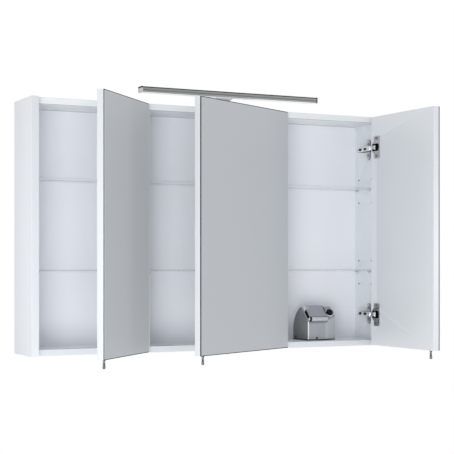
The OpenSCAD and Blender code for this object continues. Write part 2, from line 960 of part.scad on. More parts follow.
// Opal diffuser: a shallow bow that hangs below the channel by two side tongues
module lamp_diffuser() {
    half = lamp_d / 2 - lamp_wall - lip_play;
    rail_out = lip_in - lip_play;
    rail_top = lip_z + lip_h - lip_play;
    sag = diffuser_drop + 1;
    bow_r = (half * half + sag * sag) / (2 * sag);
    color("white") at_lamp() translate([cap_t - lamp_l / 2, 0, 0]) along_x(lamp_l - 2 * cap_t) {
        difference() {
            translate([lamp_d / 2, bow_r - diffuser_drop]) circle(bow_r, $fn = 180);
            translate([lamp_d / 2, bow_r - diffuser_drop + diffuser_t])
                circle(bow_r, $fn = 180);
            translate([-lamp_d, rail_top]) square([3 * lamp_d, 3 * bow_r]);
            for (x = [-lamp_d, lamp_d / 2 + half - 0.4])
                translate([x, -5]) square([1.5 * lamp_d - half + 0.4, 9]);
        }
        for (x = [lamp_wall - rail_out, lamp_d - lamp_wall + rail_out - rail_w])
            translate([x, lip_z + lip_play]) square([rail_w, lip_h - 2 * lip_play]);
    }
}

// Light strip on the channel's roof: a board with a row of emitters
module lamp_led_board() {
    strip = lamp_l - 2 * led_margin;
    count = floor(strip / led_pitch);
    under = lamp_h - lamp_roof - led_t;
    color("ivory") at_lamp() {
        translate([-strip / 2, (lamp_d - led_w) / 2, under]) cube([strip, led_w, led_t]);
        for (i = [0 : count - 1])
            translate([-strip / 2 + led_pitch * (i + 0.5), (lamp_d - led_chip) / 2,
                under - led_chip_t])
                cube([led_chip, led_chip, led_chip_t]);
    }
}

// Bracket: a foot on the cabinet's top and a wedge-shaped arm out to the lamp's back
module lamp_bracket() {
    back = lamp_y + lamp_d;
    front = front_y + bracket_setback;
    heel = front_y + bracket_heel;
    arm_low = lamp_z - bracket_below;
    arm_high = arm_low + bracket_t;
    color("silver") placed() difference() {
        union() {
            translate([-bracket_w / 2, 0, 0]) along_x(bracket_w)
                polygon([[back, lamp_z], [back, arm_high], [front_y + bracket_shoulder, arm_high],
                    [heel, cabinet_h + foot_t], [heel, cabinet_h], [front, cabinet_h],
                    [front, arm_low], [back + bracket_chamfer, arm_low]]);
            translate([0, front + bracket_foot / 2 - 1, cabinet_h])
                linear_extrude(foot_t) round_rect_centred(foot_w, bracket_foot, 6);
        }
        lamp_screw_holes();
    }
}

// The four screw positions of the bracket's foot
module at_lamp_screws() {
    for (side = [-1, 1], y = bracket_screw_y)
        translate([side * (foot_w / 2 - bracket_screw_edge), y, cabinet_h]) children();
}

module lamp_screw_holes() {
    at_lamp_screws() translate([0, 0, -lamp_screw_l - 0.5])
        cylinder(r = lamp_screw_r + 0.1, h = lamp_screw_l + foot_t + 1.5);
}

module lamp_screws() {
    color("gray") placed() at_lamp_screws() {
        translate([0, 0, -lamp_screw_l]) cylinder(r = lamp_screw_r, h = lamp_screw_l + foot_t);
        translate([0, 0, foot_t]) difference() {
            cylinder(r1 = 3.5, r2 = 2.4, h = 1.8);
            translate([0, 0, 0.9]) cross_recess(1.8);
        }
    }
}

// Puts what is drawn from the box's lower left front corner in its place
module at_box() {
    placed() translate([box_x, box_y, board_t]) children();
}

// Puts what is drawn on the box's slope in its place: Y up the slope, Z out of it
module on_slope() {
    at_box() translate([0, 0, box_front_h]) rotate([45, 0, 0]) children();
}

// Place where the slope, moved in by an inset, meets the back's arc, moved in as well
function crest(inset) =
    let (rise = box_front_h - inset * sqrt(2) - arc_z,
        r = arc_r - inset,
        b = rise - arc_y,
        c = (arc_y * arc_y + rise * rise - r * r) / 2,
        y = (-b + sqrt(b * b - 4 * c)) / 2)
    [y, y + rise + arc_z];

// The box seen from its side: upright front, 45 degree slope, rounded crest and arched back
module box_side() {
    tip = crest(0);
    centre = crest(crest_r);
    out = centre - [arc_y, arc_z];
    difference() {
        union() {
            intersection() {
                translate([arc_y, arc_z]) circle(arc_r, $fn = 120);
                translate([0, arc_z]) square([2 * arc_r, 2 * arc_r]);
            }
            square([box_d, arc_z]);
        }
        polygon([[-1, box_front_h - 1], [tip[0] + 20, tip[1] + 20], [-1, tip[1] + 20]]);
        polygon([centre, centre + crest_r * [-1, 1] / sqrt(2), tip + [0, 3], tip + [8, 3],
            centre + crest_r * out / norm(out)]);
    }
    translate(centre) circle(crest_r);
}

// The box seen from above: a rounded corner in front and one long corner cut away
module box_plan() {
    difference() {
        square([box_w, box_d]);
        square([box_corner_r, box_corner_r]);
        polygon([[box_w - box_cut_w, -1], [box_w - box_cut_w, 0], [box_w, box_cut_d],
            [box_w + 1, box_cut_d], [box_w + 1, -1]]);
    }
    translate([box_corner_r, box_corner_r]) circle(box_corner_r);
}

// Moulded housing with a seat for the flap that runs out over the crest, a bore for the socket
// and one for the button
module box_housing() {
    color("gray") difference() {
        at_box() intersection() {
            along_x(box_w) box_side();
            linear_extrude(2 * box_d) box_plan();
        }
        on_slope() {
            translate([flap_x - flap_gap, -recess_depth - 2, -recess_depth])
                cube([flap_w + 2 * flap_gap, flap_hinge_y + recess_depth + 22, recess_depth + 8]);
            translate([socket_x, socket_y, -recess_depth - socket_depth])
                cylinder(r = socket_r, h = socket_depth + 1);
            translate([button_x, button_y, -button_depth])
                cylinder(r = button_d / 2 + button_play, h = button_depth + 6);
            translate([button_x, button_y, -collar_depth])
                cylinder(r = button_d / 2 + collar_w, h = collar_depth + 6);
            translate([flap_x - flap_pin_reach() - 0.1, flap_hinge_y, flap_axis_z])
                rod_x(flap_pin_r, flap_w + 2 * flap_pin_reach() + 0.2);
        }
        placed() box_feet() translate([0, 0, -1])
            cylinder(r = box_screw_r + hole_play, h = box_screw_up + 4);
        at_box() translate([box_w / 2, box_d - cable_depth, cable_up])
            rod_y(cable_r, cable_depth + 4);
    }
}

// How far the flap's pin runs past the flap at each end
function flap_pin_reach() = flap_gap + flap_pin_grip;

// The two screw positions under the box
module box_feet() {
    for (x = [box_foot_left, box_w - box_foot_right])
        translate([box_x + x, box_y + box_d - box_foot_back, board_t]) children();
}

// Socket insert: a deep round well with two contact holes and two side clips
module socket_insert() {
    color("dimgray") on_slope() translate([socket_x, socket_y, -recess_depth]) difference() {
        translate([0, 0, 0.5 - socket_depth])
            cylinder(r = socket_r - 0.1, h = socket_depth - 0.5);
        translate([0, 0, -well_depth]) cylinder(r = well_r, h = well_depth + 1);
        for (side = [-1, 1]) translate([side * contact_x, 0, -well_depth - contact_depth])
            cylinder(r = contact_r, h = contact_depth + 1);
        for (side = [-1, 1])
            translate([-clip_w / 2, side * (well_r + 0.4) - clip_t / 2, -well_depth])
                cube([clip_w, clip_t, well_depth + 1]);
    }
}

// Flap over the socket: a hollow lid that stands proud of the slope, with a knuckle along its
// upper edge and, over the box's front edge, a finger roll with one rounded end
module socket_flap() {
    color("dimgray") on_slope() translate([flap_x, 0, 0]) difference() {
        union() {
            along_x(flap_w) flap_side();
            translate([0, flap_hinge_y, flap_axis_z]) rod_x(knuckle_r, flap_w);
            translate([0, roll_in, roll_up]) {
                rod_x(flap_roll_r, flap_w - flap_roll_r);
                translate([flap_w - flap_roll_r, 0, 0]) sphere(flap_roll_r);
            }
        }
        translate([-1, flap_hinge_y, flap_axis_z]) rod_x(flap_pin_r + 0.07, flap_w + 2);
        translate([flap_wall, roll_in + flap_roll_r, -flap_t - 1])
            cube([flap_w - 2 * flap_wall, flap_hinge_y - roll_in - flap_roll_r - 5,
                flap_t + 1 + flap_rise - flap_wall]);
    }
}

// The lid seen from its side, with a rounded upper corner
module flap_side() {
    depth = flap_hinge_y - flap_y;
    translate([flap_y, -flap_t]) square([depth, flap_t + flap_rise - flap_edge_r]);
    translate([flap_y, -flap_t]) square([depth - flap_edge_r, flap_t + flap_rise]);
    translate([flap_hinge_y - flap_edge_r, flap_rise - flap_edge_r]) circle(flap_edge_r);
}

// Steel pin that the flap turns on
module flap_pin() {
    color("silver") on_slope() translate([flap_x - flap_pin_reach(), flap_hinge_y, flap_axis_z])
        rod_x(flap_pin_r, flap_w + 2 * flap_pin_reach());
}

// Round push button with a softly domed top
module switch_button() {
    r = button_d / 2;
    color("black") on_slope() translate([button_x, button_y, 0]) rotate_extrude()
        polygon(concat([[0, -9], [r - 2, -9], [r - 2, -4], [r, -4]],
            [for (a = [0 : 15 : 75])
                [r - 1.2 + 1.2 * cos(a), button_rise - 1.2 + 1.2 * sin(a)]],
            [[r - 3, button_rise + 0.5], [0, button_rise + 0.8]]));
}

// Pale collar round the button, pressed into the slope
module switch_collar() {
    r = button_d / 2;
    color("lightgray") on_slope() translate([button_x, button_y, 0]) rotate_extrude()
        polygon([[r + button_play, -collar_depth], [r + collar_w, -collar_depth],
            [r + collar_w, 0], [r + collar_w + 0.6, 0], [r + collar_w + 0.6, 1.2],
            [r + collar_w - 0.4, 2.2], [r + button_play, 2.2]]);
}

// Countersunk screws up through the bottom panel into the box
module box_screws() {
    color("silver") placed() box_feet() {
        translate([0, 0, 0.2 - board_t])
            cylinder(r1 = box_screw_r + 1.75, r2 = box_screw_r, h = 1.7);
        translate([0, 0, 1.9 - board_t]) cylinder(r = box_screw_r, h = board_t + box_screw_up);
    }
}

side_panel_left();
side_panel_right();
top_panel();
bottom_panel();
partition_left();
partition_right();
back_panel();
panel_dowels();
hanger_plates();
hanger_screws();
door_board_left();
door_board_middle();
door_board_right();
mirror_left();
mirror_middle();
mirror_right();
hinge_cups_left();
hinge_cups_middle();
hinge_cups_right();
cup_screws_left();
cup_screws_middle();
cup_screws_right();
hinge_links_left();
hinge_links_middle();
hinge_links_right();
hinge_arms_left();
hinge_arms_middle();
hinge_arms_right();
hinge_plates_left();
hinge_plates_middle();
hinge_plates_right();
hinge_plate_screws();
hinge_arm_screws();
pull_peg_left();
pull_peg_middle();
pull_peg_right();
door_bumpers_left();
door_bumpers_middle();
door_bumpers_right();
shelf_left_lower();
shelf_left_upper();
shelf_middle_lower();
shelf_middle_upper();
shelf_right_lower();
shelf_right_upper();
shelf_supports();
shelf_pads();
lamp_profile();
lamp_end_caps();
lamp_diffuser();
lamp_led_board();
lamp_bracket();
lamp_screws();
box_housing();
socket_insert();
socket_flap();
flap_pin();
switch_button();
switch_collar();
box_screws();
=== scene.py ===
# %% [markdown]
# A lighted mirror cabinet with three doors, made ready for a picture.
#
# The solid parts were drawn in CAD at their real sizes and come in as a fixed frame.
# This lesson gives each of them its finish, softens the edges that a real board or
# casting has, and models the small pieces that only the eye needs.

# %% Load the frame
import bpy
import json
import math
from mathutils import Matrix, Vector

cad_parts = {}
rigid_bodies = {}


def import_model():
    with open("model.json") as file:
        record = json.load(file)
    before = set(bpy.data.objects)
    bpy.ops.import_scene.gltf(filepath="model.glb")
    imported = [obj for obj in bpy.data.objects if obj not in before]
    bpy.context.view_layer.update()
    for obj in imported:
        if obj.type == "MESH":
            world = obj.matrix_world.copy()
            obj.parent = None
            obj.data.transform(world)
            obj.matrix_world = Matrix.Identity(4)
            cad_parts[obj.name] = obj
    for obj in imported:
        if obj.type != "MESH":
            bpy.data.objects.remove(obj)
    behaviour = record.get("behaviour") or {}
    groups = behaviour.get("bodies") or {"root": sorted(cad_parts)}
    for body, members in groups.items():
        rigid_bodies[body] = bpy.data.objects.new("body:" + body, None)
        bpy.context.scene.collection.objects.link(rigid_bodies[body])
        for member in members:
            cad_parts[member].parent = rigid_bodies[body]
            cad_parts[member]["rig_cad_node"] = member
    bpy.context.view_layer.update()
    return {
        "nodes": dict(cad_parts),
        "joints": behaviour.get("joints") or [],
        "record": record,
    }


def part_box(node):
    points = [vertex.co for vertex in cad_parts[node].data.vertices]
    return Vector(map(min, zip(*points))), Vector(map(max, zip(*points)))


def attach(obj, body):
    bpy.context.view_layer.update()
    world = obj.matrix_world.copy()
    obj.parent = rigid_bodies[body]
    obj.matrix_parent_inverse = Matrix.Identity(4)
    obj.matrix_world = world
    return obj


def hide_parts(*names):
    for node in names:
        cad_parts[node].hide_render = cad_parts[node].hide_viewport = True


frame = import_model()
nodes = frame["nodes"]

# %% [markdown]
# Everything hangs from a few measures. Reading them off the frame, and not typing them
# again, means that a change in the CAD model moves every detail with it.

# %% Measures read from the frame
MM = 0.001
DOORS = ("left", "middle", "right")
slot_of = {row["node"]: row["material_slot"] for row in frame["record"]["subparts"]}
body_of = {node: body for body, members in frame["record"]["behaviour"]["bodies"].items()
           for node in members}
hinge_axis = {}
for joint in frame["joints"]:
    if joint["name"].startswith("door_"):
        side = joint["name"].split("_")[1]
        hinge_axis[side] = Vector(joint["pos_m"])
        print(side, "door turns on", tuple(round(v, 4) for v in joint["pos_m"]))
opening = {joint["name"].split("_")[1]: -math.radians(joint["range_deg"][0])
           for joint in frame["joints"] if joint["name"].startswith("door_")}
print("doors stand open by", {side: round(math.degrees(a), 1) for side, a in opening.items()})

# %% [markdown]
# The camera comes first, because every later choice is judged through it. A product
# photograph keeps upright lines upright, so the camera is level and the picture is moved
# up with the lens shift instead of tilting. The long lens is why the far door looks
# almost as large as the near one.

# %% Camera
PICTURE_PX = 454
FOCAL_PX = 1276.3
HORIZON_PX = 264.8
CAMERA_AT = (-1.4305, -3.0511, -0.3413)
CAMERA_YAW = math.radians(-26.42)
camera_data = bpy.data.cameras.new("camera")
camera_data.sensor_width = 36
camera_data.lens = FOCAL_PX * camera_data.sensor_width / PICTURE_PX
camera_data.shift_y = (HORIZON_PX - PICTURE_PX / 2) / PICTURE_PX
camera_data.clip_end = 30
camera = bpy.data.objects.new("camera", camera_data)
camera.location = CAMERA_AT
camera.rotation_euler = (math.radians(90), 0, CAMERA_YAW)
bpy.context.scene.collection.objects.link(camera)
bpy.context.scene.camera = camera
print("lens", round(camera_data.lens, 1), "mm, shift", round(camera_data.shift_y, 4))

# %% [markdown]
# White furniture on white needs light that is soft but not even, or the boards melt into
# each other. A pale world fills the shadows. Rays that the camera, a gloss or a glass sends
# out see plain white instead, so the background stays clean without more light on the
# cabinet. A brighter world would do that too, but it would wash out the pale boards.

# %% World
def world_light(fill):
    """A white surround for the eye and a dimmer one for the light it gives."""
    world = bpy.data.worlds.new("studio")
    bpy.context.scene.world = world
    world.use_nodes = True
    tree = world.node_tree
    tree.nodes.clear()
    path = tree.nodes.new("ShaderNodeLightPath")
    eye_or_gloss = tree.nodes.new("ShaderNodeMath")
    eye_or_gloss.operation = "MAXIMUM"
    or_glass = tree.nodes.new("ShaderNodeMath")
    or_glass.operation = "MAXIMUM"
    seen = tree.nodes.new("ShaderNodeBackground")
    seen.inputs["Color"].default_value = (1, 1, 1, 1)
    seen.inputs["Strength"].default_value = 1
    given = tree.nodes.new("ShaderNodeBackground")
    given.inputs["Color"].default_value = (0.97, 0.985, 1, 1)
    given.inputs["Strength"].default_value = fill
    mix = tree.nodes.new("ShaderNodeMixShader")
    out = tree.nodes.new("ShaderNodeOutputWorld")
    tree.links.new(path.outputs["Is Camera Ray"], eye_or_gloss.inputs[0])
    tree.links.new(path.outputs["Is Glossy Ray"], eye_or_gloss.inputs[1])
    tree.links.new(eye_or_gloss.outputs[0], or_glass.inputs[0])
    tree.links.new(path.outputs["Is Transmission Ray"], or_glass.inputs[1])
    tree.links.new(or_glass.outputs[0], mix.inputs["Fac"])
    tree.links.new(given.outputs[0], mix.inputs[1])
    tree.links.new(seen.outputs[0], mix.inputs[2])
    tree.links.new(mix.outputs[0], out.inputs["Surface"])


WORLD_FILL = 0.6
bpy.context.scene.view_settings.view_transform = "Standard"
world_light(WORLD_FILL)
print("world gives", WORLD_FILL, "of white")

# %% [markdown]
# Four soft lamps shape the white. The key on the left front gives each upright its darker
# side, and a small one, near and low, lifts the front edges and the bottom. One on the left
# lights the outer side panel, and one well round to the right reaches the mirrors and the
# lamp bar, but not the insides. Each lamp is one row of a table, so it is easy to move.


# %% Lamps
def soft_lamp(name, place, aim, size, watts):
    """A square area lamp at a place, turned to face a point."""
    data = bpy.data.lights.new(name, "AREA")
    data.shape = "SQUARE"
    data.size = size
    data.energy = watts
    lamp = bpy.data.objects.new(name, data)
    lamp.location = place
    lamp.rotation_euler = (Vector(aim) - Vector(place)).to_track_quat("-Z", "Y").to_euler()
    bpy.context.scene.collection.objects.link(lamp)


MIDDLE = (0, -0.1, -0.25)
LAMPS = {  # name: (place, size in metres, watts)
    "key": ((-2.4, -3.3, -0.6), 1.4, 33),
    "front": ((-0.95, -1.9, -1.2), 0.8, 9),
    "left": ((-3.0, 0.45, -0.1), 1.6, 15),
    "right": ((3.3, -3.0, -0.5), 1.4, 27),
}
for name, (place, size, watts) in LAMPS.items():
    soft_lamp(name, place, MIDDLE, size, watts)
print("lamps:", list(LAMPS))

# %% [markdown]
# The cabinet is made to be hung up, so nothing stands under it. The floor lies as far below
# as it would in use, pale and plain, only so that views from above have a ground. To the
# camera it is the white of the background, while gloss and glass see its pale finish.

# %% Floor
FLOOR_DROP = 1.9
FLOOR_SIZE = 14
bpy.ops.object.select_all(action="DESELECT")
bpy.ops.mesh.primitive_plane_add(size=FLOOR_SIZE, location=(0, 0, -FLOOR_DROP))
floor = bpy.context.object
floor.name = "floor"
floor_finish = bpy.data.materials.new("pale_floor")
floor_finish.use_nodes = True
tree = floor_finish.node_tree
shader = tree.nodes["Principled BSDF"]
shader.inputs["Base Color"].default_value = (0.9, 0.9, 0.9, 1)
shader.inputs["Roughness"].default_value = 0.9
glow = tree.nodes.new("ShaderNodeEmission")
path = tree.nodes.new("ShaderNodeLightPath")
mix = tree.nodes.new("ShaderNodeMixShader")
tree.links.new(path.outputs["Is Camera Ray"], mix.inputs["Fac"])
tree.links.new(shader.outputs[0], mix.inputs[1])
tree.links.new(glow.outputs[0], mix.inputs[2])
tree.links.new(mix.outputs[0], tree.nodes["Material Output"].inputs["Surface"])
floor.data.materials.append(floor_finish)
print("floor", FLOOR_SIZE, "m wide,", FLOOR_DROP, "m below")

# %% [markdown]
# Finishes. Each one starts from the same small recipe: a Principled shader whose fixed
# numbers sit on its own sockets, and a noise on Object coordinates, which is measured in
# metres and so keeps its real scale on every piece. A noise of scale 900 has grains of about
# a millimetre.


# %% A finish and its noise
def new_finish(name, colour, roughness, metallic=0.0):
    """A material with its Principled shader set; returns the material, its tree and shader."""
    finish = bpy.data.materials.new(name)
    finish.use_nodes = True
    tree = finish.node_tree
    shader = tree.nodes["Principled BSDF"]
    shader.inputs["Base Color"].default_value = (*colour, 1)
    shader.inputs["Roughness"].default_value = roughness
    shader.inputs["Metallic"].default_value = metallic
    return finish, tree, shader


def object_noise(tree, scale, detail=2.0, stretch=(1, 1, 1)):
    """A noise that stays on the piece; stretch draws it out along an axis."""
    place = tree.nodes.new("ShaderNodeTexCoord")
    mapping = tree.nodes.new("ShaderNodeMapping")
    mapping.inputs["Scale"].default_value = stretch
    noise = tree.nodes.new("ShaderNodeTexNoise")
    noise.inputs["Scale"].default_value = scale
    noise.inputs["Detail"].default_value = detail
    tree.links.new(place.outputs["Object"], mapping.inputs["Vector"])
    tree.links.new(mapping.outputs[0], noise.inputs["Vector"])
    return noise


def ramp(tree, value, low, high, span=(0.3, 0.7)):
    """Turns a value into a colour between two others."""
    ramp_node = tree.nodes.new("ShaderNodeValToRGB")
    ends = ramp_node.color_ramp.elements
    ends[0].position, ends[1].position = span
    ends[0].color = (*low, 1)
    ends[1].color = (*high, 1)
    tree.links.new(value, ramp_node.inputs["Fac"])
    return ramp_node.outputs["Color"]


def spread(tree, value, low, high):
    """Stretches a value from 0..1 to low..high."""
    stretch = tree.nodes.new("ShaderNodeMapRange")
    stretch.inputs["To Min"].default_value = low
    stretch.inputs["To Max"].default_value = high
    tree.links.new(value, stretch.inputs["Value"])
    return stretch.outputs[0]


def add_bump(tree, shader, height, strength, distance):
    """Raises and lowers a surface by a height pattern, distance in metres."""
    bump = tree.nodes.new("ShaderNodeBump")
    bump.inputs["Strength"].default_value = strength
    bump.inputs["Distance"].default_value = distance
    tree.links.new(height, bump.inputs["Height"])
    tree.links.new(bump.outputs[0], shader.inputs["Normal"])


# %% [markdown]
# White melamine is a printed paper pressed on chipboard: a faint pearl texture, a satin
# gloss, and hardly any colour. The variation is kept so small that it shows only where
# light grazes the board.

# %% White boards
CLOUD_SHADE = 0.985
GLOSS_CHANGE = 0.04
PEARL_DEPTH = 0.05 * MM


def board_finish(name, colour, roughness):
    """A papered or lacquered board: faint clouds in its white, and a pearl texture."""
    finish, tree, shader = new_finish(name, colour, roughness)
    cloud = object_noise(tree, 6, 3)
    darker = tuple(c * CLOUD_SHADE for c in colour)
    tree.links.new(ramp(tree, cloud.outputs["Fac"], darker, colour), shader.inputs["Base Color"])
    pearl = object_noise(tree, 900, 1)
    add_bump(tree, shader, pearl.outputs["Fac"], 0.08, PEARL_DEPTH)
    gloss = spread(tree, cloud.outputs["Fac"],
                   roughness - GLOSS_CHANGE, roughness + GLOSS_CHANGE)
    tree.links.new(gloss, shader.inputs["Roughness"])
    return finish


finishes = {
    "white_board": board_finish("melamine_board", (0.8, 0.83, 0.865), 0.42),
    "door_board": board_finish("melamine_door", (0.79, 0.82, 0.85), 0.36),
    # Whiter than the other boards: painted light that brightens the insides of the compartments.
    "back_board": board_finish("back_board_painted_light", (0.9, 0.912, 0.955), 0.5),
}
print("boards:", sorted(finishes))

# %% [markdown]
# Mirror and glass. A true mirror would show the empty studio, white in one door and dark in
# the next. Catalogue pictures calm it to one cool, even grey, so the silvering here is a
# satin one: wide gloss, little metal, and a faint glow that stands for the light it returns.
# The shelves are clear glass, thin enough that a see-through surface does as well as a real
# refraction, in far fewer samples. Their tint gathers only along the edges.

# %% Mirror and shelf glass
mirror, tree, shader = new_finish("silvered_glass", (0.235, 0.248, 0.268), 0.5, 0.1)
shader.inputs["Emission Color"].default_value = (0.92, 0.96, 1, 1)
shader.inputs["Emission Strength"].default_value = 0.24
haze = object_noise(tree, 3, 2)
tree.links.new(spread(tree, haze.outputs["Fac"], 0.47, 0.53), shader.inputs["Roughness"])
finishes["mirror_glass"] = mirror


def glass_finish(name, colour, cover):
    """See-through glass with a trace of wiping; cover is the share of light that it stops."""
    finish, tree, shader = new_finish(name, colour, 0.05)
    shader.inputs["Alpha"].default_value = cover
    wipe = object_noise(tree, 14, 2)
    tree.links.new(spread(tree, wipe.outputs["Fac"], 0.03, 0.1), shader.inputs["Roughness"])
    return finish


shelf_face_cover, shelf_edge_cover = 0.05, 0.12
finishes["shelf_glass"] = glass_finish("shelf_glass_face", (0.86, 0.9, 0.9), shelf_face_cover)
shelf_edge = glass_finish("shelf_glass_edge", (0.62, 0.68, 0.69), shelf_edge_cover)
shelf_arris = glass_finish("shelf_glass_arris", (0.4, 0.46, 0.46), 0.4)
print("shelf faces stop", shelf_face_cover, "of the light, their edges", shelf_edge_cover)

# %% [markdown]
# Metals. Stamped hinge steel is nickel plated and slightly cloudy, zinc plated screws are
# bluer and duller, and the pegs are a smoky chrome. On all of them the gloss changes more
# than the colour, so the noise drives the roughness first.

# %% Metals
DULL_SHADE = 0.82
METAL_DEPTH = 0.05 * MM
ALONG_BAR = (0.02, 1, 1)


def metal_finish(name, colour, rough_low, rough_high, scale, stretch=(1, 1, 1), bump=0.0):
    """A metal whose gloss and colour change along a grain; stretch draws the grain out."""
    finish, tree, shader = new_finish(name, colour, rough_high, 1.0)
    grain = object_noise(tree, scale, 3, stretch)
    tree.links.new(spread(tree, grain.outputs["Fac"], rough_low, rough_high),
                   shader.inputs["Roughness"])
    dull = tuple(c * DULL_SHADE for c in colour)
    tree.links.new(ramp(tree, grain.outputs["Fac"], dull, colour), shader.inputs["Base Color"])
    if bump:
        add_bump(tree, shader, grain.outputs["Fac"], bump, METAL_DEPTH)
    return finish


finishes["nickel_steel"] = metal_finish("nickel_plated", (0.56, 0.56, 0.55), 0.18, 0.34, 300)
finishes["cast_plate"] = metal_finish("zinc_casting", (0.66, 0.66, 0.66), 0.25, 0.45, 500,
                                      bump=0.2)
finishes["zinc_steel"] = metal_finish("zinc_plated", (0.2, 0.21, 0.23), 0.22, 0.4, 600)
finishes["chrome"] = metal_finish("smoky_chrome", (0.16, 0.16, 0.17), 0.08, 0.16, 200)
finishes["lamp_metal"] = metal_finish("anodised_bar", (0.28, 0.29, 0.285), 0.32, 0.46, 900,
                                      stretch=ALONG_BAR, bump=0.1)
lip_metal = metal_finish("anodised_lip", (0.36, 0.37, 0.38), 0.3, 0.42, 900,
                         stretch=ALONG_BAR, bump=0.1)
arm_steel = metal_finish("bright_nickel", (0.85, 0.85, 0.85), 0.16, 0.26, 300)
# Dark grey, painted shade on the rims of hinge plates and arms.
rim_painted_shade = metal_finish("hinge_rim_painted_shade", (0.1, 0.1, 0.1), 0.5, 0.6, 500, bump=0.3)
print(len(finishes), "slots have a finish, with the metals")

# %% [markdown]
# Plastics. A moulded housing has the fine grain of its tool, which breaks the highlight
# into a soft sheen. Black parts are never fully black, and the grain is what shows it. A
# smooth lacquer, such as the bracket's, takes the same recipe with a finer grain.

# %% Plastics and rubber
PALER_BY, PALER_PLUS = 1.12, 0.004
GLOSSIER, DULLER = 0.05, 0.06
MOULD_DEPTH = 0.06 * MM


def moulded_finish(name, colour, roughness, grain=1400, bump=0.25, gloss=0.5):
    """A moulding: the fine grain of its tool, and clouds in its colour and its gloss."""
    finish, tree, shader = new_finish(name, colour, roughness)
    shader.inputs["Specular IOR Level"].default_value = gloss
    spark = object_noise(tree, grain, 2)
    cloud = object_noise(tree, 20, 2)
    paler = tuple(min(1, c * PALER_BY + PALER_PLUS) for c in colour)
    tree.links.new(ramp(tree, cloud.outputs["Fac"], colour, paler), shader.inputs["Base Color"])
    tree.links.new(spread(tree, cloud.outputs["Fac"], roughness - GLOSSIER, roughness + DULLER),
                   shader.inputs["Roughness"])
    add_bump(tree, shader, spark.outputs["Fac"], bump, MOULD_DEPTH)
    return finish


finishes["box_plastic"] = moulded_finish("grey_housing", (0.36, 0.375, 0.405), 0.5)
finishes["flap_plastic"] = moulded_finish("grey_flap", (0.35, 0.36, 0.4), 0.32)
finishes["socket_plastic"] = moulded_finish("grey_socket", (0.3, 0.3, 0.3), 0.45)
finishes["collar_plastic"] = moulded_finish("pale_collar", (0.86, 0.88, 0.9), 0.3)
finishes["bracket_metal"] = moulded_finish("white_lacquer", (0.88, 0.9, 0.92), 0.35, 1800,
                                           0.15)
finishes["black_plastic"] = moulded_finish("black_plastic", (0.006, 0.006, 0.008), 0.4,
                                           gloss=0.12)
finishes["black_screw"] = moulded_finish("blackened_steel", (0.008, 0.008, 0.008), 0.35, 600,
                                         gloss=0.2)
finishes["support_plastic"] = moulded_finish("pale_support", (0.72, 0.74, 0.76), 0.3)
finishes["pad_rubber"] = moulded_finish("grey_pad", (0.12, 0.12, 0.12), 0.6)
finishes["bumper"] = moulded_finish("soft_bumper", (0.74, 0.77, 0.8), 0.45)
# The next three are painted light: shade on the flank, highlights on the arris and facet.
housing_flank_painted_shade = moulded_finish("grey_housing_flank_painted_shade", (0.2, 0.21, 0.215), 0.55, gloss=0.3)
housing_arris_painted_highlight = moulded_finish("grey_housing_arris_painted_highlight", (0.8, 0.82, 0.85), 0.25, gloss=0.6)
housing_facet_painted_light = moulded_finish("grey_housing_facet_painted_light", (0.44, 0.475, 0.48), 0.45)
box_shade = moulded_finish("grey_shadow_line", (0.16, 0.165, 0.18), 0.6, gloss=0.3)
roll_grey = moulded_finish("grey_roll", (0.5, 0.515, 0.55), 0.35)
# The two groove finishes are painted shade in the lamp bar's grooves.
wide_groove_painted_shade = moulded_finish("groove_shadow", (0.025, 0.025, 0.028), 0.6, 900, gloss=0.1)
fine_groove_painted_shade = moulded_finish("fine_groove_painted_shade", (0.13, 0.13, 0.14), 0.6, 900, gloss=0.2)
# Black for the roll's cap and lid sides; painted shade under the box and by the lid.
black_parts_and_painted_shade = moulded_finish("black_rubber_and_painted_shade", (0.006, 0.006, 0.006), 0.6, 900, gloss=0.1)
finishes["led_board"] = moulded_finish("strip_board", (0.8, 0.8, 0.74), 0.5)
print(len(finishes), "slots have a finish, with the plastics")

# %% [markdown]
# The beech dowels hide in the boards, but they still get a grain. A noise that is scaled
# down along one axis looks drawn out along it, which is all that a short rod needs.

# %% Dowel wood
ALONG_ROD = (0.08, 1, 1)
wood, tree, shader = new_finish("beech", (0.6, 0.42, 0.26), 0.6)
grain = object_noise(tree, 500, 4, ALONG_ROD)
tree.links.new(ramp(tree, grain.outputs["Fac"], (0.45, 0.3, 0.17), (0.66, 0.48, 0.3)),
               shader.inputs["Base Color"])
finishes["dowel_wood"] = wood
print("dowel grain is drawn out", round(1 / ALONG_ROD[0], 1), "times along the rods")

# %% [markdown]
# The diffuser glows. Its light is part emission and part the studio's own, so it stays
# brighter than the boards and yet keeps a shape.

# %% Lit diffuser
DIFFUSER_GLOW = 0.3
FROST_DEPTH = 0.05 * MM
opal, tree, shader = new_finish("opal_diffuser", (0.7, 0.71, 0.72), 0.4)
shader.inputs["Emission Color"].default_value = (1, 0.98, 0.95, 1)
shader.inputs["Emission Strength"].default_value = DIFFUSER_GLOW
frost = object_noise(tree, 1200, 1)
add_bump(tree, shader, frost.outputs["Fac"], 0.1, FROST_DEPTH)
finishes["opal"] = opal
print("diffuser glows at", DIFFUSER_GLOW)

# %% [markdown]
# The record says which material slot each node belongs to, and the finishes carry the slots'
# names. One loop therefore dresses the whole frame, and no node is forgotten.

# %% Give every CAD node its finish
for name, node in nodes.items():
    node.data.materials.clear()
    node.data.materials.append(finishes[slot_of[name]])
print(len(nodes), "nodes dressed in", len(finishes), "finishes")

# %% [markdown]
# Real boards and castings have no knife edges. A copy of a CAD piece is merged, its flat
# faces are joined again, and a narrow bevel runs along every sharp edge. The copy then
# stands for the node, in the same place and on the same body. The node's own mesh is never
# touched, because the motion model needs it as it is.

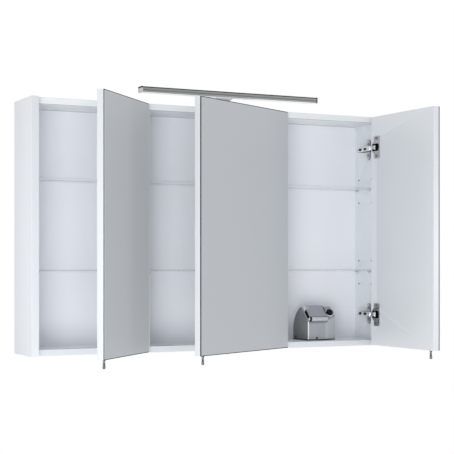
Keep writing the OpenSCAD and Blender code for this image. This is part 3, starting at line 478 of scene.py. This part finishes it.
# %% Softened copies
MERGE_WITHIN = 0.002 * MM
FLAT_WITHIN = math.radians(0.5)
SHARP_FROM = math.radians(40)
SMOOTH_UP_TO = math.radians(30)


def select_only(piece):
    """Makes the piece the only one that the operators act on."""
    bpy.ops.object.select_all(action="DESELECT")
    piece.hide_set(False)
    piece.select_set(True)
    bpy.context.view_layer.objects.active = piece


def copied(node_name, name):
    """A clean copy of a CAD node: its triangles merged and its flat faces joined again."""
    select_only(nodes[node_name])
    bpy.ops.object.duplicate()
    piece = bpy.context.object
    piece.name = name
    piece.parent = None
    del piece["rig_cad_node"]  # the mark of a CAD node, which the copy isn't
    bpy.ops.object.mode_set(mode="EDIT")
    bpy.ops.mesh.select_all(action="SELECT")
    bpy.ops.mesh.remove_doubles(threshold=MERGE_WITHIN)
    bpy.ops.mesh.dissolve_limited(angle_limit=FLAT_WITHIN)
    bpy.ops.object.mode_set(mode="OBJECT")
    return piece


def softened(node_name, width):
    """A bevelled copy of a CAD node that stands for it."""
    piece = copied(node_name, node_name + "_soft")
    if width:
        bevel = piece.modifiers.new("soft_edges", "BEVEL")
        bevel.limit_method = "ANGLE"
        bevel.angle_limit = SHARP_FROM
        bevel.width = width
        bevel.segments = 2
        bpy.ops.object.modifier_apply(modifier=bevel.name)
    bpy.ops.object.shade_smooth_by_angle(angle=SMOOTH_UP_TO)
    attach(piece, body_of[node_name])
    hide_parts(node_name)
    return piece


# %% [markdown]
# Many pieces show one finish on a broad face and another on an edge. Picking the faces by
# their direction does this without painting. Where one face needs two finishes, it is first
# divided along a plane with the bisect tool.


# %% Finishes by side, and cuts
def coloured_by_side(node_name, name, choose, others, width=0):
    """A softened copy with further finishes on some faces, picked by their side."""
    piece = softened(node_name, width)
    piece.name = name
    for finish in others:
        piece.data.materials.append(finish)
    for face in piece.data.polygons:
        face.material_index = choose(face)
    return piece


def cut_across(piece, place, direction):
    """Divides the piece's faces along a plane; nothing is taken away."""
    select_only(piece)
    bpy.ops.object.mode_set(mode="EDIT")
    bpy.ops.mesh.select_all(action="SELECT")
    bpy.ops.mesh.bisect(plane_co=place, plane_no=direction)
    bpy.ops.object.mode_set(mode="OBJECT")


# %% [markdown]
# The door boards have banded edges, which are rounded off by half a millimetre, and the
# switch's collar is a small moulding. They need nothing but that soft edge, so a table of
# widths and one loop are enough.

# %% Soft edges alone
SOFT_EDGES_MM = {
    "door_board_left": 0.5, "door_board_middle": 0.5, "door_board_right": 0.5,
    "switch_collar": 0.2,
}
for name, width in SOFT_EDGES_MM.items():
    softened(name, width * MM)
print("softened", len(SOFT_EDGES_MM), "pieces")

# %% [markdown]
# Where the back slides into the top's groove a hairline of shadow stays open. Three slim
# strips, one in each compartment, draw it. A dark line in the board's finish would be
# simpler, but so fine a line blurs when a finish is baked to an image.

# %% Joint line along the back
joint_grey = moulded_finish("joint_shadow", (0.52, 0.53, 0.56), 0.7, gloss=0.2)
JOINT_H, JOINT_T, JOINT_ARRIS = 1.3 * MM, 0.5 * MM, 0.15 * MM
back_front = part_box("back_panel")[0].y
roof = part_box("partition_left")[1].z
walls = [(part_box("side_panel_left")[1].x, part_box("partition_left")[0].x),
         (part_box("partition_left")[1].x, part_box("partition_right")[0].x),
         (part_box("partition_right")[1].x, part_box("side_panel_right")[0].x)]
for side, (left_wall, right_wall) in zip(DOORS, walls):
    bpy.ops.object.select_all(action="DESELECT")
    bpy.ops.mesh.primitive_cube_add(size=1, location=((left_wall + right_wall) / 2,
                                                      back_front - JOINT_T / 2,
                                                      roof - JOINT_H / 2))
    strip = bpy.context.object
    strip.name = "joint_line_" + side
    strip.scale = (right_wall - left_wall, JOINT_T, JOINT_H)
    bpy.ops.object.transform_apply(location=True, rotation=True, scale=True)
    bpy.ops.object.mode_set(mode="EDIT")
    bpy.ops.mesh.select_all(action="SELECT")
    bpy.ops.mesh.bevel(offset=JOINT_ARRIS, segments=2, affect="EDGES")
    bpy.ops.object.mode_set(mode="OBJECT")
    strip.data.materials.append(joint_grey)
    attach(strip, body_of["back_panel"])
print("joint line runs at", round(roof, 4), "m")

# %% [markdown]
# The rows of pin holes are drilled through the white skin into raw chipboard, so from a step
# away each is a small dark dot; their near-black finish is partly that chipboard and partly
# painted shade in the holes. Their walls and floors are by far the smallest faces of a board,
# which makes them easy to pick.

# %% Upright boards
# Near-black: raw chipboard and painted shade in the pin holes.
hole_chipboard_and_painted_shade = moulded_finish("raw_chipboard_and_painted_shade", (0.1, 0.095, 0.09), 0.8, 900, 0.3)
SMALL_FACE = 25 * MM * MM
RIM_MARGIN = 5 * MM
UPRIGHT_ARRIS = 0.25 * MM


def in_hole(face, low, high):
    """The walls and floors of the pin holes: small faces, away from the board's own rims."""
    spot = face.center
    off_rims = low.y + RIM_MARGIN < spot.y < high.y - RIM_MARGIN
    off_foot = abs(spot.z - low.z) > RIM_MARGIN
    return 1 if off_rims and off_foot and face.area < SMALL_FACE else 0


for name in ("side_panel_left", "side_panel_right", "partition_left", "partition_right"):
    low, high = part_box(name)
    board = coloured_by_side(name, "drilled_" + name, lambda face: in_hole(face, low, high),
                             [hole_chipboard_and_painted_shade], UPRIGHT_ARRIS)
    print(board.name, "faces in holes:", sum(f.material_index for f in board.data.polygons))

# %% [markdown]
# The top and the bottom have an edge band on their front, glued on with a hairline joint.
# The bevel on the inner front edge is as narrow as such a joint, so a dark finish on it draws
# the line, partly that joint and partly painted shade under the band. The inner faces are a
# brighter white than the outside, painted light that lifts the shaded insides, and the top's
# band is painted lighter and the bottom's darker, painted light and shade on one band.

# %% Top and bottom boards
# Painted light: inner faces, top band; painted shade: bottom band, glue line.
inner_face_painted_light = board_finish("melamine_inner_painted_light", (0.93, 0.95, 0.97), 0.42)
top_band_painted_light = board_finish("melamine_top_band_painted_light", (0.9, 0.93, 0.955), 0.4)
bottom_band_painted_shade = board_finish("melamine_bottom_band_painted_shade", (0.73, 0.76, 0.795), 0.4)
glue_line_and_painted_shade = moulded_finish("band_glue_line_and_painted_shade", (0.14, 0.145, 0.155), 0.6, 900, gloss=0.2)
TOP_ARRIS, BOTTOM_ARRIS = 0.6 * MM, 0.3 * MM


def level_board_side(face, inner):
    """The inner face, the front band or its glue line; inner is +1 if that face looks up."""
    n = face.normal
    if n.z * inner > 0.9:
        return 1
    if n.y < -0.9:
        return 2
    return 3 if n.y < -0.3 and n.z * inner > 0.3 else 0


coloured_by_side("top_panel", "dressed_top_panel", lambda face: level_board_side(face, -1),
                 [inner_face_painted_light, top_band_painted_light, glue_line_and_painted_shade], TOP_ARRIS)
coloured_by_side("bottom_panel", "dressed_bottom_panel", lambda face: level_board_side(face, 1),
                 [inner_face_painted_light, bottom_band_painted_shade, glue_line_and_painted_shade], BOTTOM_ARRIS)
print("glue lines", TOP_ARRIS / MM, "mm wide above and", BOTTOM_ARRIS / MM, "mm below")

# %% [markdown]
# A sheet of mirror has three faces to the eye: the silvered front, a fine ground bevel and a
# dark edge where the backing paint shows through the glass. On the left door the bevel is
# pale, a painted highlight where it catches the light; on the other doors it takes the dark
# edge. Along its top and bottom that dark rim also shows from the front, nearly 2 mm wide, so
# there the front face is cut and its outer strips are darkened.

# %% Edges of the mirrors
dark_edge = moulded_finish("mirror_backing_edge", (0.006, 0.007, 0.008), 0.5, 900, 0.1, 0.1)
# Pale bevel on the left door only: a painted highlight.
pale_bevel_painted_highlight = moulded_finish("mirror_bevel_painted_highlight", (0.7, 0.75, 0.8), 0.35, 900, 0.1)
MIRROR_RIM = 1.8 * MM


def mirror_side(face, side):
    """The silvering, the dark edges and, on the left door, the bevel's painted highlight."""
    turn = opening[side]
    along = abs(face.normal.dot(Vector((math.sin(turn), -math.cos(turn), 0))))
    if along > 0.9:
        return 0
    if along < 0.1 or side != "left" or abs(face.normal.z) > 0.1:
        return 1
    return 2


for side in DOORS:
    pane = coloured_by_side("mirror_" + side, "mirror_pane_" + side,
                            lambda face: mirror_side(face, side), [dark_edge, pale_bevel_painted_highlight])
    low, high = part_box("mirror_" + side)
    rims = (low.z + MIRROR_RIM, high.z - MIRROR_RIM)
    for level in rims:
        cut_across(pane, (0, 0, level), (0, 0, 1))
    for face in pane.data.polygons:
        if not rims[0] < face.center.z < rims[1]:
            face.material_index = 1
    print(pane.name, "faces:", len(pane.data.polygons))

# %% [markdown]
# The shelves are clear in the middle and darker along their edges, where one looks along the
# sheet. Real refraction would give that too, but only in a slow and grainy render. Here the
# edge faces simply let less light through, and the upper arris least of all.


# %% Edges of the shelves
def shelf_side(face):
    """Clear on top and below, tinted along the edge, darkest on the upper arris."""
    if abs(face.normal.z) > 0.97:
        return 0
    return 2 if face.normal.z > 0.2 else 1


for side in DOORS:
    for level in ("lower", "upper"):
        place = side + "_" + level
        shelf = coloured_by_side("shelf_" + place, "shelf_pane_" + place, shelf_side,
                                 [shelf_edge, shelf_arris])
print("shelf faces:", len(shelf.data.polygons))

# %% [markdown]
# Concealed hinges are the finest work here, and they read by contrast: a bright stamped arm,
# a cup whose well is painted black, the shade where no light reaches its floor, and a cast
# plate and an arm outlined in dark grey, painted shade along their rims. The shapes are right
# in the CAD, so copies of them get a finish by the place and the side of each face. A door
# stands open at rest, so its depths are measured square to the door and not along an axis of
# the room.

# %% Depths behind a door's axis
WELL_RIM = 0.3 * MM
into_cabinet = {side: Vector((-math.sin(opening[side]), math.cos(opening[side]), 0))
                for side in DOORS}


def depth_behind(side, point):
    """How far a point lies behind the door's axis, straight into the door's own back."""
    return (point - hinge_axis[side]).dot(into_cabinet[side])


door_back = {side: max(depth_behind(side, v.co)
                       for v in nodes["door_board_" + side].data.vertices) for side in DOORS}
print("door backs lie behind their axes by", {s: round(d, 4) for s, d in door_back.items()})

# %% [markdown]
# The faces of a cup that lie below the board's back, inside the board, are its well, painted
# black as shade. On the plates the faces that look sideways keep the cast finish and the rest
# is painted dark grey, and on the arms the walls that look up and down are painted dark grey:
# painted shade that outlines them. The links stay as they are and take the bright finish.

# %% Hinge pieces
well_dark = moulded_finish("cup_well", (0.008, 0.008, 0.008), 0.6, 900, 0.1, 0.1)
CUP_ARRIS, PLATE_ARRIS, ARM_ARRIS = 0.2 * MM, 0.35 * MM, 0.25 * MM


def in_well(face, side):
    """The faces of a cup inside the board; its flange outside stays bright."""
    return 1 if depth_behind(side, face.center) < door_back[side] + WELL_RIM else 0


for side in DOORS:
    coloured_by_side("hinge_cups_" + side, "hinge_bowls_" + side,
                     lambda face: in_well(face, side), [well_dark], CUP_ARRIS)
    coloured_by_side("hinge_plates_" + side, "hinge_crosses_" + side,
                     lambda face: 0 if abs(face.normal.x) > 0.6 else 1, [rim_painted_shade],
                     PLATE_ARRIS)
    arms = coloured_by_side("hinge_arms_" + side, "hinge_channels_" + side,
                            lambda face: 1 if abs(face.normal.z) > 0.8 else 0, [rim_painted_shade],
                            ARM_ARRIS)
    arms.data.materials[0] = arm_steel
    nodes["hinge_links_" + side].data.materials[0] = arm_steel
heads = coloured_by_side("hinge_plate_screws", "plate_screw_heads",
                         lambda face: 0 if abs(face.normal.x) > 0.7 else 1,
                         [finishes["zinc_steel"]])
heads.data.materials[0] = finishes["nickel_steel"]
print("hinge pieces finished for", len(DOORS), "doors")

# %% [markdown]
# What the CAD leaves plain is modelled here from primitives. Three helpers do what the mouse
# would: pick faces by a test, turn a profile, and hand a finished piece over to its body.
# Profiles are written in millimetres, because that is how a drawing gives them.


# %% Modelling helpers
def pick_faces(piece, test):
    """Leaves the piece in edit mode with only the faces selected that pass the test."""
    select_only(piece)
    bpy.ops.object.mode_set(mode="EDIT")
    bpy.ops.mesh.select_mode(type="FACE")
    bpy.ops.mesh.select_all(action="DESELECT")
    bpy.ops.object.mode_set(mode="OBJECT")
    for face in piece.data.polygons:
        face.select = test(face)
    bpy.ops.object.mode_set(mode="EDIT")


def turned(name, place, axis, profile, sides=48):
    """A turned piece: a disc drawn out step by step; the profile lists (height, radius)."""
    bpy.ops.object.select_all(action="DESELECT")
    height, radius = profile[0]
    bpy.ops.mesh.primitive_circle_add(vertices=sides, radius=radius, fill_type="NGON")
    piece = bpy.context.object
    piece.name = name
    bpy.ops.object.mode_set(mode="EDIT")
    bpy.ops.mesh.select_all(action="SELECT")
    for next_height, next_radius in profile[1:]:
        step = next_height - height
        bpy.ops.mesh.extrude_region_move(TRANSFORM_OT_translate={"value": (0, 0, step)})
        share = next_radius / radius
        bpy.ops.transform.resize(value=(share, share, 1), center_override=(0, 0, 0))
        height, radius = next_height, next_radius
    bpy.ops.mesh.select_all(action="SELECT")
    bpy.ops.mesh.normals_make_consistent(inside=False)
    bpy.ops.object.mode_set(mode="OBJECT")
    piece.rotation_mode = "QUATERNION"
    piece.rotation_quaternion = Vector(axis).to_track_quat("Z", "Y")
    piece.location = Vector(place) + Vector(axis).normalized() * profile[0][0]
    return piece


def hand_over(piece, finish, carrier):
    """Puts the piece's place into its mesh, smooths it and lets it ride with a CAD node."""
    select_only(piece)
    bpy.ops.object.transform_apply(location=True, rotation=True, scale=True)
    bpy.ops.object.shade_smooth_by_angle(angle=SMOOTH_UP_TO)
    piece.data.materials.append(finish)
    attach(piece, body_of[carrier])


def in_mm(profile):
    """A profile in metres from one in millimetres."""
    return [(height * MM, radius * MM) for height, radius in profile]


# %% [markdown]
# A pull peg is a turned pin: a collar against the door, a slim waist for the fingertips, a
# fine ring and a domed end. Drawing a disc out along its axis, ring by ring, is how a lathe
# would cut it, and each step stays easy to change.

# %% Pull pegs
PEG_PROFILE = in_mm([(0, 3.6), (1.9, 3.6), (2.3, 3.4), (2.9, 2.9), (13.4, 2.9), (14.0, 3.2),
                     (14.4, 3.5), (15.2, 3.5), (15.4, 3.25), (15.9, 3.25), (16.1, 3.5),
                     (19.4, 3.5), (20.4, 3.25), (21.2, 2.7), (21.7, 1.9), (22.0, 0.9)])
for side in DOORS:
    low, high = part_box("pull_peg_" + side)
    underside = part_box("door_board_" + side)[0].z
    peg = turned("peg_" + side, ((low.x + high.x) / 2, (low.y + high.y) / 2, underside),
                 (0, 0, -1), PEG_PROFILE)
    hand_over(peg, finishes["chrome"], "pull_peg_" + side)
    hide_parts("pull_peg_" + side)

# %% [markdown]
# The lamp is a drawn aluminium channel. Its front has a groove under the top edge and a finer
# one lower down, which is what makes a plain bar look drawn and not sawn. The copy is bisected
# along the grooves and the strips between the cuts are pushed inwards, so the grooves have a
# true depth. Their faces take a near-black and a dark grey finish, painted shade in the grooves.

# %% Grooved lamp channel
GROOVE_DEPTH = 0.5 * MM
GROOVES = [(10.7 * MM, 12.5 * MM), (4.9 * MM, 5.7 * MM)]
LOWER_LIP = 2.6 * MM
HAIR = 0.1 * MM
channel = copied("lamp_profile", "lamp_channel")
channel_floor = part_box("lamp_profile")[0].z
for level in (LOWER_LIP, *GROOVES[0], *GROOVES[1]):
    cut_across(channel, (0, 0, channel_floor + level), (0, 0, 1))


def in_groove(point):
    return any(low < point.z - channel_floor < high for low, high in GROOVES)


front_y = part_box("lamp_profile")[0].y
pick_faces(channel, lambda face: face.normal.y < -0.9 and in_groove(face.center)
           and face.center.y < front_y + HAIR)
bpy.ops.mesh.extrude_region_move(TRANSFORM_OT_translate={"value": (0, GROOVE_DEPTH, 0)})
bpy.ops.object.mode_set(mode="OBJECT")
hand_over(channel, wide_groove_painted_shade, "lamp_profile")
channel.data.materials.append(fine_groove_painted_shade)
channel.data.materials.append(lip_metal)
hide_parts("lamp_profile")
for face in channel.data.polygons:  # slots: 0 bar, 1 wide groove, 2 fine groove, 3 lip
    height = face.center.z - channel_floor
    if face.center.y < front_y + GROOVE_DEPTH + HAIR and in_groove(face.center):
        face.material_index = 1 if height > GROOVES[0][0] else 2
    elif face.normal.y < -0.5 and height < LOWER_LIP:
        face.material_index = 3
print("lamp channel:", len(channel.data.polygons), "faces")

# %% [markdown]
# Each end cap is a black plastic rim round a grey end plate, and the left cap's front is grey
# too, a painted reflection on its black front. The bracket has darker grey flanks, painted
# shade on the sides of its arm, between white lacquered faces. Both are picked by side, and a
# cut just below the top keeps a black brow over each end plate.

# %% Lamp end caps and bracket
cap_low, cap_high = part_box("lamp_end_caps")
# Grey end plates, and a painted reflection on the left cap's front.
plate_grey_and_painted_reflection = moulded_finish("end_plate_and_painted_reflection", (0.5, 0.515, 0.515), 0.4)
# Darker grey, painted shade on the bracket's flanks.
bracket_side_painted_shade = moulded_finish("bracket_flank_painted_shade", (0.56, 0.57, 0.6), 0.4)
CAP_BROW = 4 * MM
CAP_ARRIS, BRACKET_ARRIS = 0.8 * MM, 0.5 * MM


def cap_side(face):
    """The end plates are grey, and on the left cap the front too, as painted reflection."""
    n = face.normal
    if n.z > 0.3 or n.y > 0.3:
        return 0
    return 1 if abs(n.x) > 0.9 or face.center.x < 0 else 0


caps = coloured_by_side("lamp_end_caps", "lamp_caps", cap_side, [plate_grey_and_painted_reflection], CAP_ARRIS)
cut_across(caps, (0, 0, cap_high.z - CAP_BROW), (0, 0, 1))
for face in caps.data.polygons:
    if face.center.z > cap_high.z - CAP_BROW:
        face.material_index = 0
coloured_by_side("lamp_bracket", "dressed_bracket",
                 lambda face: 1 if abs(face.normal.x) > 0.7 else 0, [bracket_side_painted_shade],
                 BRACKET_ARRIS)
print("end caps reach from", round(cap_low.x, 3), "to", round(cap_high.x, 3), "m")

# %% [markdown]
# The switch and socket box is a small moulding with a lot to see: a facet where its corner is
# cut and a front arris, both painted light, a lid with black sides, and a round button. Its
# slope runs at 45 degrees, so places on it are given along and out of the slope, counted from
# the pin that the lid turns on.

# %% Directions on the box's slope
UP_SLOPE = Vector((0, 1, 1)).normalized()
OUT_OF_SLOPE = Vector((0, -1, 1)).normalized()
PIN_DEPTH = 1.6 * MM
lid_pin = Vector(next(j["pos_m"] for j in frame["joints"] if j["name"] == "flap_hinge"))


def on_slope(x, up, out):
    """A point from its x, its way up the slope from the pin, and its height out of it."""
    spot = lid_pin + UP_SLOPE * up + OUT_OF_SLOPE * (out + PIN_DEPTH)
    return Vector((x, spot.y, spot.z))


print("lid pin at", tuple(round(v, 4) for v in lid_pin))

# %% [markdown]
# A thin black strip runs all round under the box and shows as a black line: painted shade
# where the box sits on the board, shaped as a rubber foot. It is the lowest slice of the
# housing's own outline, a touch wider, which saves measuring that outline. One black screw
# holds the housing at its front and another on its left side.

# %% Painted shadow under the box, and two screws
FOOT_H = 2.6 * MM
FOOT_WIDER = (1.015, 1.02, 1)
# The strip under the box is painted shade, black where the box sits on the board.
foot = copied("box_housing", "box_base_painted_shade")
box_low, box_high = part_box("box_housing")
bpy.ops.object.mode_set(mode="EDIT")
bpy.ops.mesh.select_all(action="SELECT")
bpy.ops.mesh.bisect(plane_co=(0, 0, box_low.z + FOOT_H), plane_no=(0, 0, 1),
                    clear_outer=True, use_fill=True)
bpy.ops.mesh.select_all(action="SELECT")
foot_middle = ((box_low.x + box_high.x) / 2, (box_low.y + box_high.y) / 2, box_low.z)
bpy.ops.transform.resize(value=FOOT_WIDER, center_override=foot_middle)
bpy.ops.object.mode_set(mode="OBJECT")
foot.data.materials.clear()
hand_over(foot, black_parts_and_painted_shade, "box_housing")
SCREW_PROFILE = in_mm([(-1, 2.8), (0.6, 2.8), (1.1, 2.3), (1.2, 1.2), (0.5, 1.1)])
FROM_LEFT, FROM_BACK = 27 * MM, 14 * MM
FRONT_UP, SIDE_UP = 6.5 * MM, 8 * MM
BOX_SCREWS = {  # name: (place, the way the head looks)
    "box_front_screw": ((box_low.x + FROM_LEFT, box_low.y, box_low.z + FRONT_UP), (0, -1, 0)),
    "box_side_screw": ((box_low.x, box_high.y - FROM_BACK, box_low.z + SIDE_UP), (-1, 0, 0)),
}
for name, (place, axis) in BOX_SCREWS.items():
    screw = turned(name, place, axis, SCREW_PROFILE, 32)
    hand_over(screw, finishes["black_screw"], "box_housing")
print("foot:", len(foot.data.polygons), "faces")

# %% [markdown]
# The housing is one moulding, but light gives it four tones: its own grey, a darker left
# flank, a bright arris down the front left corner, and a paler facet where the right corner
# is cut. The lamps alone don't part them enough, so each gets a finish of its own: painted
# shade on the flank, a painted highlight on the arris and painted light on the facet.

# %% Housing
SHELL_ARRIS = 0.8 * MM


def housing_side(face):
    """Painted shade on the left flank, painted light on the front left arris and the cut facet.
    """
    n = face.normal
    if abs(n.z) > 0.4:
        return 0
    if n.x < -0.95:
        return 1
    if n.x < -0.2 and n.y < -0.2:
        return 2
    return 3 if n.x > 0.15 and n.y < -0.5 else 0


shell = coloured_by_side("box_housing", "box_shell", housing_side,
                         [housing_flank_painted_shade, housing_arris_painted_highlight, housing_facet_painted_light], SHELL_ARRIS)
print("housing faces:", len(shell.data.polygons))

# %% [markdown]
# The lid's sides are black, and end in a pale cheek near the pin. A black line above its
# finger roll and a shadow line under it are painted shade. The black ends part of the way up
# the side, so the side is cut there.

# %% Lid
ROLL_UP, ROLL_OUT, ROLL_R = -46 * MM, 4.5 * MM, 5.5 * MM
NEAR_ROLL = 0.3 * MM
BLACK_SIDE_TOP = -14 * MM
LID_ARRIS = 0.5 * MM
lid_low, lid_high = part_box("socket_flap")
roll_middle = on_slope(lid_low.x, ROLL_UP, ROLL_OUT)


def lid_side(face):
    """Black on the lid's sides, and painted shade: black above its roll, a shadow line under it.
    """
    n = face.normal
    if abs(n.x) > 0.75:
        return 1
    away = face.center - roll_middle
    near_roll = Vector((0, away.y, away.z)).length < ROLL_R + NEAR_ROLL
    if near_roll and n.dot(UP_SLOPE) > 0.5:
        return 1
    return 2 if near_roll and n.z < -0.35 else 0


lid = coloured_by_side("socket_flap", "lid_shell", lid_side, [black_parts_and_painted_shade, box_shade], LID_ARRIS)
cut_across(lid, on_slope(0, BLACK_SIDE_TOP, 0), UP_SLOPE)
lid.data.materials.append(finishes["collar_plastic"])
for face in lid.data.polygons:
    if abs(face.normal.x) > 0.75 and (face.center - lid_pin).dot(UP_SLOPE) > BLACK_SIDE_TOP:
        face.material_index = 3
print("lid faces:", len(lid.data.polygons))

# %% [markdown]
# The finger roll along the lid's lower edge is a sleeve of its own, with a black end cap and
# a bright rivet on the left and a rounded end on the right. Three turned pieces on one axis
# give it the fine steps that a single rod would lack.

# %% Finger roll
SLEEVE_R = 6.1
SLEEVE_FROM, CAP_FROM = 4.5, 4.4
sleeve_l = (lid_high.x - lid_low.x) / MM - SLEEVE_FROM
sleeve = turned("lid_roll_sleeve", roll_middle + Vector((SLEEVE_FROM * MM, 0, 0)), (1, 0, 0),
                in_mm([(0, SLEEVE_R - 0.3), (0.3, SLEEVE_R), (sleeve_l - 5, SLEEVE_R),
                       (sleeve_l - 2.4, 5.4), (sleeve_l - 1, 4), (sleeve_l - 0.2, 2)]), 64)
hand_over(sleeve, roll_grey, "socket_flap")
cap = turned("lid_roll_cap", roll_middle + Vector((CAP_FROM * MM, 0, 0)), (-1, 0, 0),
             in_mm([(0, 6.4), (4.4, 6.4), (4.9, 6.1), (5.1, 5.5)]), 64)
hand_over(cap, black_parts_and_painted_shade, "socket_flap")
rivet = turned("lid_roll_rivet", roll_middle, (-1, 0, 0),
               in_mm([(0, 4.2), (1.0, 4.2), (1.3, 3.8), (1.5, 2.6), (1.6, 0.8)]), 32)
hand_over(rivet, finishes["collar_plastic"], "socket_flap")
print("sleeve is", round(sleeve_l, 1), "mm long")

# %% [markdown]
# At the lid's upper left a small black screw sits on a pale washer. A dark bead runs up its
# right side, and a dark line crosses it above the roll: painted shade, for the shadow in the
# gap beside the lid and in the groove above the roll. Both are thin rods sunk in the lid
# rather than lines in its finish, so they have a rounded top that catches the light.

# %% Screw of the lid and its painted shadow lines
LID_TOP = 9 * MM
SCREW_IN, SCREW_UP = 5.5 * MM, -7 * MM
BEAD_IN, BEAD_UP = 1.2 * MM, -33 * MM
LINE_IN, LINE_UP = 4.5 * MM, -41.7 * MM
screw_at = on_slope(lid_low.x + SCREW_IN, SCREW_UP, LID_TOP)
washer = turned("lid_screw_washer", screw_at, OUT_OF_SLOPE,
                in_mm([(-0.4, 4.2), (0.4, 4.2), (0.6, 3.8), (0.6, 2.2)]), 32)
hand_over(washer, finishes["collar_plastic"], "socket_flap")
lid_screw = turned("lid_screw", screw_at, OUT_OF_SLOPE,
                   in_mm([(-1, 2.2), (0.9, 2.2), (1.3, 1.8), (1.4, 1.0), (0.8, 0.9)]), 32)
hand_over(lid_screw, finishes["black_screw"], "socket_flap")
# The bead and the line are painted shade, dark rods for the shadow by the lid and its roll.
bead_at = on_slope(lid_high.x - BEAD_IN, BEAD_UP, LID_TOP)
bead = turned("lid_side_painted_shadow", bead_at, UP_SLOPE,
              in_mm([(0, 0.5), (0.6, 1.0), (27.4, 1.0), (28, 0.5)]), 24)
hand_over(bead, black_parts_and_painted_shade, "socket_flap")
line_at = on_slope(lid_low.x + LINE_IN, LINE_UP, LID_TOP)
line = turned("lid_roll_painted_shadow", line_at, (1, 0, 0),
              in_mm([(0, 0.5), (0.4, 0.8), (49, 0.8), (50, 0.4)]), 16)
hand_over(line, black_parts_and_painted_shade, "socket_flap")
print("lid screw at", tuple(round(v, 4) for v in screw_at))

# %% [markdown]
# The button's head is wider than its stem, so that no dust falls into the gap, and slightly
# dished for the finger. It stays clear of its collar when it is pressed. Its place is read
# from the CAD button, along the slope, because a box along the room's axes would miss it.

# %% Push button
def middle_along(node_name, direction):
    """The middle of a CAD node's reach in one direction."""
    reach = [v.co.dot(direction) for v in nodes[node_name].data.vertices]
    return (min(reach) + max(reach)) / 2


button_low, button_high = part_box("switch_button")
button_up = middle_along("switch_button", UP_SLOPE) - lid_pin.dot(UP_SLOPE)
button_at = on_slope((button_low.x + button_high.x) / 2, button_up, 0)
button = turned("button_cap", button_at, OUT_OF_SLOPE,
                in_mm([(-9, 6.5), (-4, 6.5), (-3.9, 8.3), (4.5, 8.3), (4.6, 9.3), (7.4, 9.3),
                       (8.1, 9.0), (8.5, 8.3), (8.6, 7.2), (8.2, 5.5), (8.0, 1.0)]), 64)
hand_over(button, finishes["black_plastic"], "switch_button")
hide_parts("switch_button")
print("button stands on the slope at", tuple(round(v, 4) for v in button_at))
